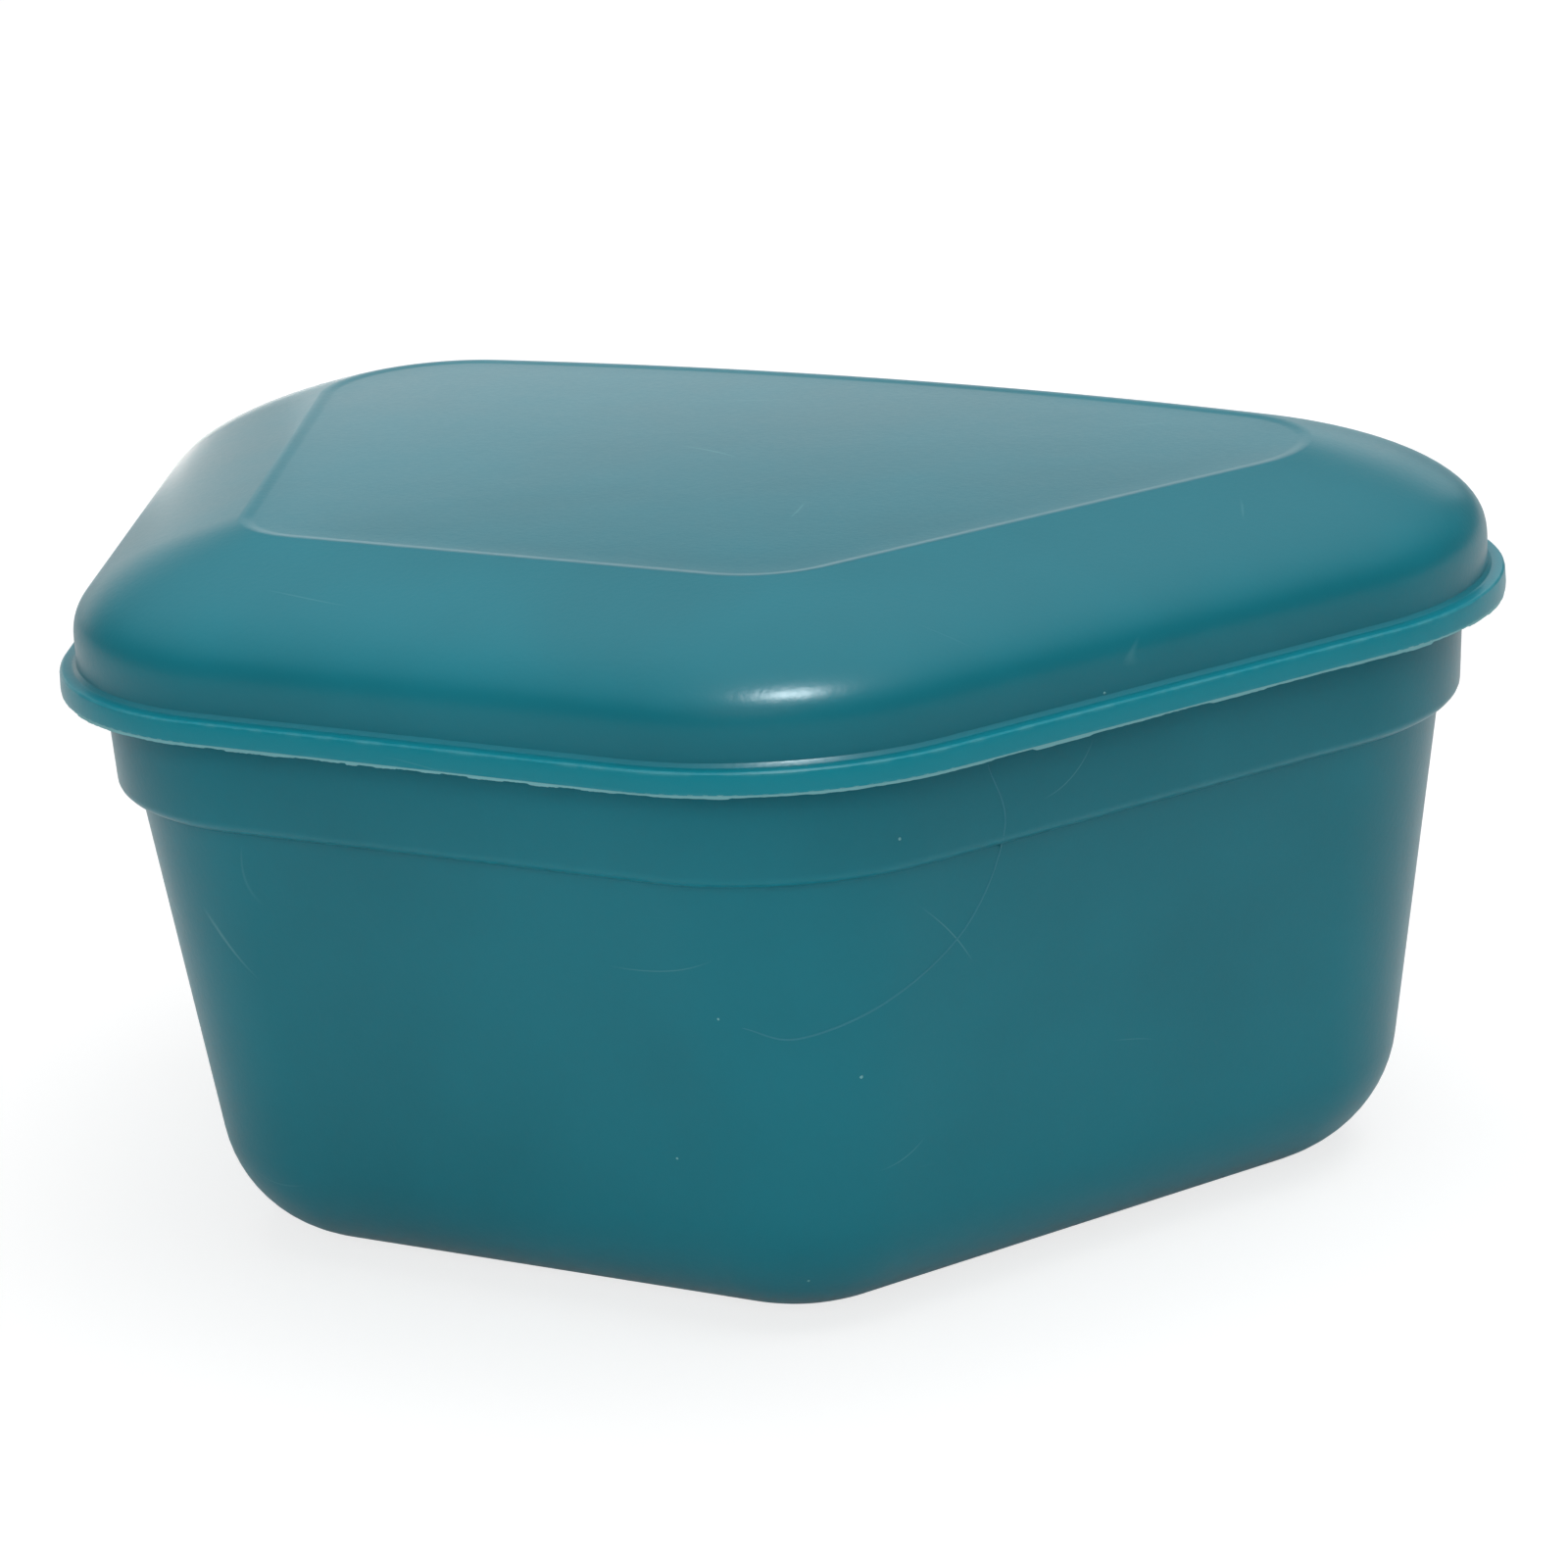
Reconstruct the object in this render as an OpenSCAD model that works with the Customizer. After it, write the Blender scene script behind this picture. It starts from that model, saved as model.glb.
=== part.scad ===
// Denture case: a deep bowl, a domed lid that snaps into it, a lift-out strainer basket and its handle.
// Millimetres, +Z up. The short front side faces -Y, and the case is mirrored about X = 0.
// The origin is the middle of the overall outline, on the surface that the case stands on.
// "Inset" is the distance inwards from the outermost outline, which is the edge of the lid's flange.

/* [Case outline] */
// Overall width, across the rounded back corners
case_w = 92; // [86:0.5:104]
// Overall depth, from the front side to the middle of the bowed back
case_d = 69.4; // [64:0.2:78]
// Overall height, with the lid on
case_h = 45.2; // [44:0.1:52]
// Slant of the two sides seen from above, in degrees
side_slant = 25.2; // [18:0.2:28]
// Radius of the two back corners
back_corner_r = 19.8; // [18:0.1:22]
// Radius of the two front corners
front_corner_r = 17.9; // [16:0.1:19]
// Radius of the long outward bow of the back
back_bow_r = 188; // [140:1:400]

/* [Bowl] */
// Height of the step where the wall widens into the collar
step_z = 29.2; // [27:0.1:30]
// Inset of the wall just below the step
step_in = 4.2; // [4:0.1:5]
// Inset of the wall where its slope would meet the table
base_in = 8.5; // [7.5:0.1:9.5]
// Radius that rolls the wall into the base
base_fillet = 8.5; // [6:0.1:10]
// Inset of the collar just above the step
collar_in = 2.9; // [2.6:0.1:3.2]
// How far the collar leans out from there up to the rim
collar_draft = 0.3; // [0:0.05:0.4]
// Height of the rounding under the collar
step_round = 0.9; // [0.6:0.05:1.4]
// Height of the rim that the lid's flange lies on
rim_z = 35.7; // [35.3:0.1:37]
// Thickness of the wall and the floor
bowl_wall = 1.6; // [1.4:0.1:1.9]
// Width of the ring that the bowl stands on
foot_ring_w = 2.6; // [2:0.1:4]
// Depth of the hollow inside that ring
foot_recess = 0.5; // [0.2:0.1:0.8]

/* [Lid] */
// Thickness of the flange
flange_t = 1.4; // [1.2:0.1:1.8]
// Inset of the dome's foot on the flange
dome_in = 1; // [0.6:0.1:1.6]
// Inset of the crease round the flat top panel
panel_in = 11.5; // [10.5:0.1:13]
// How far the dome rises before it starts to turn in
dome_foot_rise = 2.2; // [1.5:0.1:4]
// How far it leans in over that rise
dome_foot_lean = 0.6; // [0:0.1:1.5]
// How far from the crease the dome starts to level out
dome_crown_run = 13; // [8:0.1:14]
// Slope of the dome where it meets the crease
dome_crown_slope = 0.25; // [0.1:0.01:0.4]
// Thickness of the dome and the panel
lid_wall = 1.5; // [1.3:0.1:1.8]
// Depth of the plug rib that enters the bowl
plug_drop = 2.6; // [2.2:0.1:3]
// Thickness of the plug rib
plug_t = 1.2; // [1:0.1:1.3]

/* [Snap beads] */
// How far the bead inside the bowl's rim stands proud
bowl_bead = 0.25; // [0.2:0.05:0.3]
// How far the bead on the lid's plug stands proud
plug_bead = 0.3; // [0.2:0.05:0.35]
// Clearance between the two beads as they pass
snap_gap = 0.15; // [0.1:0.05:0.25]
// Depth of the bowl's bead below the rim
bead_drop = 1; // [0.9:0.05:1.1]
// Half the height of each bead
bead_half = 0.5; // [0.4:0.05:0.55]
// Height between the underside of the bowl's bead and the crest of the plug's
bead_pass = 0.4; // [0.3:0.05:0.5]

/* [Strainer basket] */
// Clearance between the basket and the bowl all round
basket_gap = 0.4; // [0.3:0.05:0.6]
// Thickness of the basket's wall and floor
basket_wall = 1.2; // [1:0.1:1.4]
// Thickness of the rim that hangs on the bowl's ledge
basket_rim_t = 1.2; // [1:0.1:1.6]
// Gap that drains between the two floors
drain_gap = 4; // [3:0.1:6]
// Radius that rolls the basket's wall into its floor
basket_fillet = 6; // [4:0.1:7]
// Diameter of the drain holes in the floor
hole_d = 3.2; // [2:0.1:4]
// Distance between neighbouring drain holes
hole_pitch = 6.6; // [6:0.1:9]
// Flat floor left between a drain hole and the rounded edge of the floor
hole_edge = 1.5; // [1:0.1:2.5]
// Width of the drain slots in the walls
slot_w = 2.4; // [1.8:0.1:3]
// Length of the drain slots
slot_len = 13; // [8:0.5:14]
// Distance between neighbouring slots
slot_pitch = 6; // [5:0.1:8]
// How far the slots sit below the middle of the straight wall
slot_drop = 1; // [0.5:0.1:1.5]

/* [Swing handle] */
// Place of the pivots, from front to back
pivot_y = 3; // [0:0.5:6]
// Inset of the handle's outer edge when it lies on the rim
handle_in = 8.6; // [8.4:0.1:10]
// Width of the handle's bar
handle_w = 2.8; // [2.2:0.1:3.4]
// Thickness of the handle's bar
handle_t = 2.4; // [2:0.1:2.8]
// Diameter of the pivot pins
pin_d = 2.2; // [1.8:0.1:2.4]
// Radial clearance of the pins in their ears
pin_gap = 0.05; // [0.03:0.01:0.08]
// Radius of the hub at each end of the bar
hub_r = 2; // [1.8:0.1:2.4]
// Thickness of each ear
ear_t = 1.6; // [1.4:0.1:2]
// Radius of the ear's rounded top
ear_r = 2.4; // [2.2:0.1:2.8]
// Clearance between the handle and what it lies on or passes
rest_gap = 0.3; // [0.25:0.05:0.5]
// Height of the bracket below each ear
bracket_h = 3.6; // [2:0.1:5]
// Width of each pad that the bar lies on
rest_pad_w = 5; // [3:0.5:5]
// Distance of each pad from the middle
rest_pad_x = 8; // [4:0.5:9]

/* [Hidden] */
$fn = 48;

// Steps round a front corner, round a back corner and along half of the bowed back
front_steps = 10;
back_steps = 16;
bow_steps = 5;
// Steps along a fillet and along the dome
fillet_steps = 6;
dome_steps = 12;
// Smallest corner radius that a far inset outline keeps
tight_r = 1.2;
// Rounding of the thin moulded edges
edge_r = 0.3;
// Overlap where one solid is sunk into another that it is moulded with
sink = 0.4;
// Length of the bar that cuts a slot through the wall
slot_reach = 8;

bow_y = case_d / 2 - back_bow_r;
back_x = case_w / 2 - back_corner_r;
back_y = bow_y + sqrt(pow(back_bow_r - back_corner_r, 2) - pow(back_x, 2));
// Distance of each side's line from the origin, along that side's own direction outwards
side_d = back_x * cos(side_slant) - back_y * sin(side_slant) + back_corner_r;

wall_rate = (base_in - step_in) / step_z;
wall_stretch = sqrt(1 + pow(wall_rate, 2));
wall_angle = atan(wall_rate);
// Inside of the collar at its foot and at the rim
collar_inner = collar_in + bowl_wall;
rim_inner = collar_inner - collar_draft;
ledge_z = step_z + bowl_wall;

flange_top = rim_z + flange_t;
plug_in = rim_inner + bowl_bead + snap_gap + plug_bead;
plug_bottom = rim_z - plug_drop;

basket_rim_top = ledge_z + basket_rim_t;
basket_bottom = bowl_wall + drain_gap;
ledge_in = wall_in(ledge_z) + bowl_wall * wall_stretch;
basket_in = ledge_in + basket_gap;

bar_bottom = basket_rim_top + rest_gap;
pivot_z = bar_bottom + hub_r;
// The ears stand just inside the plug rib, whose inner face is at this inset
ear_in = plug_in + plug_t + rest_gap;
ear_x = side_x(ear_in, pivot_y - ear_r);
hub_x = ear_x - ear_t - rest_gap;

// Inset of the bowl's sloping wall at a height, and of its slope carried down to the table
function wall_in(z) = base_in - wall_rate * z;
// Half the width of the outline at an inset, on the slanted sides
function side_x(inset, y) = (side_d - inset + y * sin(side_slant)) / cos(side_slant);

// Centre of a front corner that keeps a distance from the front and from the side
function front_centre(d) = [side_x(d, d - case_d / 2), d - case_d / 2];
// Centre of a back corner that keeps a distance from the side and from the bowed back
function back_centre(d) =
    let (q = side_d - d + bow_y * sin(side_slant))
    let (w = sqrt(pow(back_bow_r - d, 2) - pow(q, 2)))
    [q * cos(side_slant) + w * sin(side_slant), bow_y - q * sin(side_slant) + w * cos(side_slant)];
function on_circle(c, r, a) = [c.x + r * cos(a), c.y + r * sin(a)];

// Right half of the outline at an inset, from the front straight to the middle of the back
function half_outline(inset) =
    let (front_r = max(front_corner_r - inset, tight_r))
    let (back_r = max(back_corner_r - inset, tight_r))
    let (front_c = front_centre(inset + front_r))
    let (back_c = back_centre(inset + back_r))
    let (bow_half = atan2(back_c.x, back_c.y - bow_y))
    let (front_turn = 90 - side_slant)
    let (back_turn = 90 - bow_half + side_slant)
    concat(
        [for (i = [0:front_steps]) on_circle(front_c, front_r, -90 + front_turn * i / front_steps)],
        [for (i = [0:back_steps]) on_circle(back_c, back_r, back_turn * i / back_steps - side_slant)],
        [for (i = [1:bow_steps]) on_circle([0, bow_y], back_bow_r - inset, 90 - bow_half * (1 - i / bow_steps))]
    );
// Whole outline, anticlockwise seen from above
function outline(inset) =
    let (half = half_outline(inset))
    let (last = len(half) - 1)
    concat(half, [for (i = [1:last]) [-half[last - i].x, half[last - i].y]]);

// A shell turned round the outline. Its profile is a list of [inset, height] points that starts at a
// flat face looking down, runs outwards, over the rim and back in, and ends at a flat face looking up.
module shell(profile) {
    count = len(outline(0));
    top = len(profile) - 1;
    points = [for (p = profile) for (q = outline(p[0])) [q.x, q.y, p[1]]];
    walls = [
        for (j = [0:top - 1], i = [0:count - 1])
            let (a = j * count + i, b = j * count + (i + 1) % count)
            each [[a, a + count, b + count], [a, b + count, b]]
    ];
    underside = [for (i = [0:count - 1]) i];
    upperside = [for (i = [0:count - 1]) top * count + count - 1 - i];
    polyhedron(points = points, faces = concat([underside], walls, [upperside]));
}

// Fillet between a level face and a sloping wall, outwards from the level face.
// All fillets of a wall share this centre, so the wall keeps its thickness round the turn.
function fillet(centre, r) = [
    for (i = [0:fillet_steps])
        let (a = 90 + (wall_angle - 90) * i / fillet_steps)
        [centre[0] - r * cos(a), centre[1] - r * sin(a)]
];
function reversed(list) = [for (i = [len(list) - 1:-1:0]) list[i]];

// ---- Bowl ----
bowl_fillet_c = [wall_in(base_fillet) + base_fillet * wall_stretch, base_fillet];
foot_in = bowl_fillet_c[0] + foot_ring_w;
bead_z = rim_z - bead_drop;

bowl_outside = concat(
    [[foot_in + foot_recess, foot_recess], [foot_in, 0]],
    fillet(bowl_fillet_c, base_fillet),
    [[step_in, step_z]],
    [
        for (a = [30:30:90])
            [step_in - (step_in - collar_in) * sin(a), step_z + step_round * (1 - cos(a))]
    ],
    [[collar_in - collar_draft, rim_z - edge_r], [collar_in - collar_draft + edge_r, rim_z]]
);
bowl_inside = concat(
    [[rim_inner - edge_r, rim_z], [rim_inner, rim_z - edge_r]],
    [[rim_inner, bead_z + bead_half], [rim_inner + bowl_bead, bead_z], [rim_inner, bead_z - bead_half]],
    [[collar_inner, ledge_z], [ledge_in, ledge_z]],
    reversed(fillet(bowl_fillet_c, base_fillet - bowl_wall))
);

module bowl() {
    color([0.15, 0.38, 0.43]) shell(concat(bowl_outside, bowl_inside));
}

// ---- Lid ----
dome_a = [dome_in, flange_top];
dome_b = dome_a + [dome_foot_lean, dome_foot_rise];
dome_d = [panel_in, case_h];
dome_c = dome_d - dome_crown_run * [1, dome_crown_slope];

// The dome is one smooth curve, and its inside is the same curve moved in by the wall's thickness
function dome(u) =
    pow(1 - u, 3) * dome_a + 3 * pow(1 - u, 2) * u * dome_b + 3 * (1 - u) * pow(u, 2) * dome_c + pow(u, 3) * dome_d;
function dome_way(u) =
    pow(1 - u, 2) * (dome_b - dome_a) + 2 * (1 - u) * u * (dome_c - dome_b) + pow(u, 2) * (dome_d - dome_c);
function dome_inner(u) =
    let (way = dome_way(u))
    dome(u) + lid_wall * [way[1], -way[0]] / norm(way);

plug_bead_z = bead_z - bead_half - bead_pass;
lid_inside = concat(
    [[panel_in + lid_wall * dome_crown_slope, case_h - lid_wall]],
    [for (i = [dome_steps - 1:-1:1]) dome_inner(i / dome_steps)],
    [[dome_in + lid_wall, flange_top], [plug_in + plug_t, flange_top]],
    [[plug_in + plug_t, plug_bottom + edge_r], [plug_in + plug_t - edge_r, plug_bottom]],
    [[plug_in + edge_r, plug_bottom], [plug_in, plug_bottom + edge_r]],
    [[plug_in - plug_bead, plug_bead_z], [plug_in, plug_bead_z + bead_half], [plug_in, rim_z]]
);
lid_outside = concat(
    [[edge_r, rim_z], [0, rim_z + edge_r], [0, flange_top - edge_r], [edge_r, flange_top]],
    [for (i = [0:dome_steps]) dome(i / dome_steps)]
);

module lid() {
    color([0.2, 0.48, 0.53]) shell(concat(lid_inside, lid_outside));
}

// ---- Strainer basket ----
// The basket's wall keeps the bowl's slope, one gap further in
basket_fillet_c = [
    basket_in + wall_rate * (ledge_z - basket_bottom - basket_fillet) + basket_fillet * wall_stretch,
    basket_bottom + basket_fillet
];
basket_flat_in = basket_fillet_c[0];
basket_rim_in = collar_inner + basket_gap;
basket_inner = basket_in + basket_wall * wall_stretch;

basket_profile = concat(
    fillet(basket_fillet_c, basket_fillet),
    [[basket_in, ledge_z], [basket_rim_in, ledge_z]],
    [[basket_rim_in, basket_rim_top - edge_r], [basket_rim_in + edge_r, basket_rim_top]],
    [[basket_inner, basket_rim_top]],
    reversed(fillet(basket_fillet_c, basket_fillet - basket_wall))
);

// Inset of a point inside the straight and bowed sides
function inset_at(p) = min(
    p.y + case_d / 2,
    side_d + p.y * sin(side_slant) - abs(p.x) * cos(side_slant),
    back_bow_r - norm([p.x, p.y - bow_y])
);

// Drain holes in staggered rows that keep clear of the rounded edge of the floor
rows = floor(case_d / hole_pitch / 2);
holes_each_way = floor(case_w / hole_pitch / 2);
hole_points = [
    for (j = [-rows:rows], i = [-holes_each_way:holes_each_way])
        let (p = [(i + (abs(j) % 2) / 2) * hole_pitch, j * hole_pitch * sin(60)])
        if (inset_at(p) > basket_flat_in + hole_edge + hole_d / 2) p
];
module drain_holes() {
    for (p = hole_points)
        translate([p.x, p.y, basket_bottom - sink])
            cylinder(h = basket_wall + 2 * sink, d = hole_d);
}

// Drain slots in the walls, between the fillet and the rim
slot_z = (basket_fillet_c[1] + ledge_z) / 2 - slot_drop;
module slot(place, direction) {
    translate([place.x, place.y, slot_z])
        rotate([90, 0, direction + 90])
            linear_extrude(slot_reach, center = true)
                union() {
                    square([slot_w, slot_len - slot_w], center = true);
                    for (s = [-1, 1])
                        translate([0, s * (slot_len - slot_w) / 2])
                            circle(d = slot_w);
                }
}
// A row of slots spread evenly about the middle of the line between two points
module slot_row(a, b, direction) {
    length = norm(b - a);
    count = floor((length - slot_w) / slot_pitch);
    for (i = [0:count])
        slot(a + (b - a) / length * (length / 2 + (i - count / 2) * slot_pitch), direction);
}
module drain_slots() {
    wall_at = (wall_in(slot_z) - wall_in(ledge_z)) + (basket_in + basket_inner) / 2;
    front_c = front_centre(front_corner_r);
    back_c = back_centre(back_corner_r);
    front_r = front_corner_r - wall_at;
    back_r = back_corner_r - wall_at;
    slot_row([-front_c.x, front_c.y - front_r], [front_c.x, front_c.y - front_r], -90);
    for (s = [0, 1])
        mirror([s, 0, 0])
            slot_row(
                on_circle(front_c, front_r, -side_slant),
                on_circle(back_c, back_r, -side_slant),
                -side_slant
            );
    bow_r = back_bow_r - wall_at;
    bow_count = floor((2 * back_c.x - slot_w) / slot_pitch);
    for (i = [0:bow_count])
        let (a = 90 + asin((i - bow_count / 2) * slot_pitch / bow_r))
        slot(on_circle([0, bow_y], bow_r, a), a);
}

// Blocks moulded inside the wall, just under the rim: one below each ear, and two that the bar lies on
module inside_wall_block(x_from, x_to, y_from, y_to, h) {
    translate([0, 0, basket_rim_top - h])
        linear_extrude(h)
            intersection() {
                polygon(outline(basket_inner - sink));
                translate([x_from, y_from])
                    square([x_to - x_from, y_to - y_from]);
            }
}
module rest_pad() {
    pad_to = handle_in + handle_w - case_d / 2;
    inside_wall_block(rest_pad_x, rest_pad_x + rest_pad_w, -case_d / 2, pad_to, basket_rim_t);
}
module ear() {
    inside_wall_block(ear_x - ear_t, case_w / 2, pivot_y - ear_r, pivot_y + ear_r, bracket_h);
    difference() {
        union() {
            translate([ear_x - ear_t, pivot_y - ear_r, basket_rim_top - sink])
                cube([ear_t, 2 * ear_r, pivot_z - basket_rim_top + sink]);
            translate([ear_x - ear_t, pivot_y, pivot_z])
                rotate([0, 90, 0])
                    cylinder(h = ear_t, r = ear_r);
        }
        translate([ear_x - ear_t - sink, pivot_y, pivot_z])
            rotate([0, 90, 0])
                cylinder(h = ear_t + 2 * sink, d = pin_d + 2 * pin_gap);
    }
}

module strainer_basket() {
    color([0.9, 0.92, 0.92]) {
        difference() {
            shell(basket_profile);
            drain_holes();
            drain_slots();
        }
        for (s = [0, 1])
            mirror([s, 0, 0]) {
                rest_pad();
                ear();
            }
    }
}

// ---- Swing handle ----
module handle_bar() {
    translate([0, 0, bar_bottom])
        linear_extrude(handle_t)
            intersection() {
                difference() {
                    polygon(outline(handle_in));
                    polygon(outline(handle_in + handle_w));
                }
                translate([-hub_x, -case_d / 2])
                    square([2 * hub_x, case_d / 2 + pivot_y]);
            }
}
module hub_and_pin() {
    hub_inner = side_x(handle_in + handle_w, pivot_y) - sink;
    translate([hub_inner, pivot_y, pivot_z])
        rotate([0, 90, 0]) {
            cylinder(h = hub_x - hub_inner, r = hub_r);
            cylinder(h = ear_x - hub_inner - rest_gap / 2, d = pin_d);
        }
}
module basket_handle() {
    color([0.85, 0.88, 0.88]) {
        handle_bar();
        for (s = [0, 1])
            mirror([s, 0, 0])
                hub_and_pin();
    }
}

bowl();
lid();
strainer_basket();
basket_handle();
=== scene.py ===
"""Looks of a denture case: a tapered bowl, its domed snap lid, a strainer basket and its handle.

The bowl, the lid and the basket are closed shells turned round one plan outline, and the bar
of the handle follows the front of it. Sizes of the pieces are millimetres, as the maker would
give them. Meshes, lamps and the floor are in metres.
"""

import logging
import math
import random
from dataclasses import dataclass, field, replace
from enum import Enum
from typing import Any, Iterable, Sequence

import bmesh
import bpy
from mathutils import Matrix, Vector
from mathutils.bvhtree import BVHTree


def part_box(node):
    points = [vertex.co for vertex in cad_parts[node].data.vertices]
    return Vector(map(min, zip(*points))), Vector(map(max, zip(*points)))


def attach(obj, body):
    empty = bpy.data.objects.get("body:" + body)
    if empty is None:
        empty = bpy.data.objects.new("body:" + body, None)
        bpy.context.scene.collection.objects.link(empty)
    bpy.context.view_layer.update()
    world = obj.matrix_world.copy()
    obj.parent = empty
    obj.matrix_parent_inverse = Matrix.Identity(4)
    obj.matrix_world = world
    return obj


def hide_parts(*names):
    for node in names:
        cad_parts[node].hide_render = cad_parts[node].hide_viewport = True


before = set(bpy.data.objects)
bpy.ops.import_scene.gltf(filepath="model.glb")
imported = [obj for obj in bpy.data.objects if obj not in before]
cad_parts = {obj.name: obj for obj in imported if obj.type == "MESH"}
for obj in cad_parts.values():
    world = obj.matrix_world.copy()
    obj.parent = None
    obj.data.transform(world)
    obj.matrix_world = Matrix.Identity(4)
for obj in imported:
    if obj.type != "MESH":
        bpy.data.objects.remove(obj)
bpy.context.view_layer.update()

LOG = logging.getLogger("denture_case")
MM = 0.001
PHOTO_SIZE = 1600
STAGGER = math.radians(60)

Triple = tuple[float, float, float]
Colour = Triple
Pair = tuple[float, float]
Pixel = Pair
Face = tuple[int, ...]


class Body(Enum):
    """The moving bodies that pieces ride on."""

    BOWL = "bowl"
    LID = "lid"
    BASKET = "basket"
    HANDLE = "handle"


class Slot(Enum):
    """The names of material slots that pieces hold; their finish comes from the material given to
    them, not from these.
    """

    BOWL = "bowl_plastic"
    LID = "lid_plastic"
    BASKET = "basket_plastic"


class Side(Enum):
    """The two sides of the case, with the sign of X there."""

    RIGHT = 1
    LEFT = -1

    def label(self) -> str:
        """Return the side's name, as piece names hold it."""
        return self.name.lower()


def linear(red: int, green: int, blue: int) -> Colour:
    """Turn an 8-bit display colour into the linear one that shaders use.

    Args:
        red: Red, 0 to 255.
        green: Green, 0 to 255.
        blue: Blue, 0 to 255.

    Returns:
        The linear colour.
    """
    def one(value: int) -> float:
        """Undo the display curve for one channel."""
        share = value / 255
        return share / 12.92 if share <= 0.04045 else ((share + 0.055) / 1.055) ** 2.4

    return one(red), one(green), one(blue)


# ---- Shader maths ----


class Shade:
    """A shader socket that can be used in a Python expression."""

    def __init__(self, graph: "ShaderGraph", socket: bpy.types.NodeSocket) -> None:
        """Wrap an output socket of a graph."""
        self.graph = graph
        self.socket = socket

    def _math(self, operation: str, *values: Any) -> "Shade":
        """Add a Math node for an operation on these values."""
        return self.graph.add("ShaderNodeMath", {"operation": operation}, dict(enumerate(values)))

    def __add__(self, other: Any) -> "Shade":
        """Return self + other."""
        return self._math("ADD", self, other)

    def __radd__(self, other: Any) -> "Shade":
        """Return other + self."""
        return self._math("ADD", other, self)

    def __sub__(self, other: Any) -> "Shade":
        """Return self - other."""
        return self._math("SUBTRACT", self, other)

    def __rsub__(self, other: Any) -> "Shade":
        """Return other - self."""
        return self._math("SUBTRACT", other, self)

    def __mul__(self, other: Any) -> "Shade":
        """Return self * other."""
        return self._math("MULTIPLY", self, other)

    def __rmul__(self, other: Any) -> "Shade":
        """Return other * self."""
        return self._math("MULTIPLY", other, self)

    def __gt__(self, other: Any) -> "Shade":
        """Return 1 where self is over other, else 0, as other < self asks too."""
        return self._math("GREATER_THAN", self, other)

    def __lt__(self, other: Any) -> "Shade":
        """Return 1 where self is under other, else 0."""
        return self._math("LESS_THAN", self, other)

    def __abs__(self) -> "Shade":
        """Return the size of self."""
        return self._math("ABSOLUTE", self)

    def most(self, other: Any) -> "Shade":
        """Return the larger of self and other."""
        return self._math("MAXIMUM", self, other)

    def span(self, low: float, high: float) -> "Shade":
        """Step smoothly from 0 to 1.

        Args:
            low: Where the step starts.
            high: Where it ends.

        Returns:
            0 up to low, 1 from high on, and a smooth step between.
        """
        settings = {"interpolation_type": "SMOOTHSTEP"}
        inputs = {"Value": self, "From Min": low, "From Max": high}
        return self.graph.add("ShaderNodeMapRange", settings, inputs)


class ShaderGraph:
    """The node tree of a material or the world."""

    def __init__(self, tree: bpy.types.NodeTree) -> None:
        """Start from an empty tree."""
        self.tree = tree
        tree.nodes.clear()

    def add(
        self,
        kind: str,
        settings: dict[str, Any] | None = None,
        inputs: dict[Any, Any] | None = None,
        output: Any = 0,
    ) -> Shade:
        """Add one node.

        Args:
            kind: The node's type name.
            settings: Properties of the node, set before its sockets.
            inputs: Values or links of its sockets, by name or index.
            output: Which output to return, by name or index.

        Returns:
            That output, ready for an expression.
        """
        node = self.tree.nodes.new(kind)
        for name, value in (settings or {}).items():
            setattr(node, name, value)
        for key, value in (inputs or {}).items():
            socket = node.inputs[key]
            if isinstance(value, Shade):
                self.tree.links.new(value.socket, socket)
            elif socket.type == "RGBA" and len(value) == 3:
                socket.default_value = (*value, 1.0)
            else:
                socket.default_value = value
        return Shade(self, node.outputs[output] if len(node.outputs) else None)

    def blend(self, share: Any, first: Any, second: Any) -> Shade:
        """Mix two colours.

        Args:
            share: How much of the second colour, 0 to 1.
            first: The first colour.
            second: The second colour.

        Returns:
            The mixed colour.
        """
        return self.add(
            "ShaderNodeMix",
            {"data_type": "RGBA", "clamp_factor": True},
            {"Factor": share, 6: first, 7: second},
            2,
        )

    def noise(self, where: Shade, scale: float, detail: float = 2.0, rough: float = 0.5) -> Shade:
        """Add a noise texture.

        Args:
            where: The coordinates.
            scale: Features per metre.
            detail: Octaves.
            rough: How strong each finer octave is.

        Returns:
            The noise, about 0.5 on average.
        """
        inputs = {"Vector": where, "Scale": scale, "Detail": detail, "Roughness": rough}
        return self.add("ShaderNodeTexNoise", None, inputs, "Fac")

    def ray_kinds(self) -> list[Shade]:
        """Return whether a ray is the camera's, glossy or clear, each as 0 or 1."""
        names = ("Is Camera Ray", "Is Glossy Ray", "Is Transmission Ray")
        return [self.add("ShaderNodeLightPath", None, None, name) for name in names]

    def stretched(self, where: Shade, turn: Triple, squeeze: Triple) -> Shade:
        """Turn and stretch coordinates.

        Args:
            where: The coordinates.
            turn: Rotation about X, Y and Z, in degrees.
            squeeze: Scale along each axis.

        Returns:
            The new coordinates.
        """
        inputs = {
            "Vector": where,
            "Rotation": tuple(math.radians(angle) for angle in turn),
            "Scale": squeeze,
        }
        return self.add("ShaderNodeMapping", None, inputs)


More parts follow.
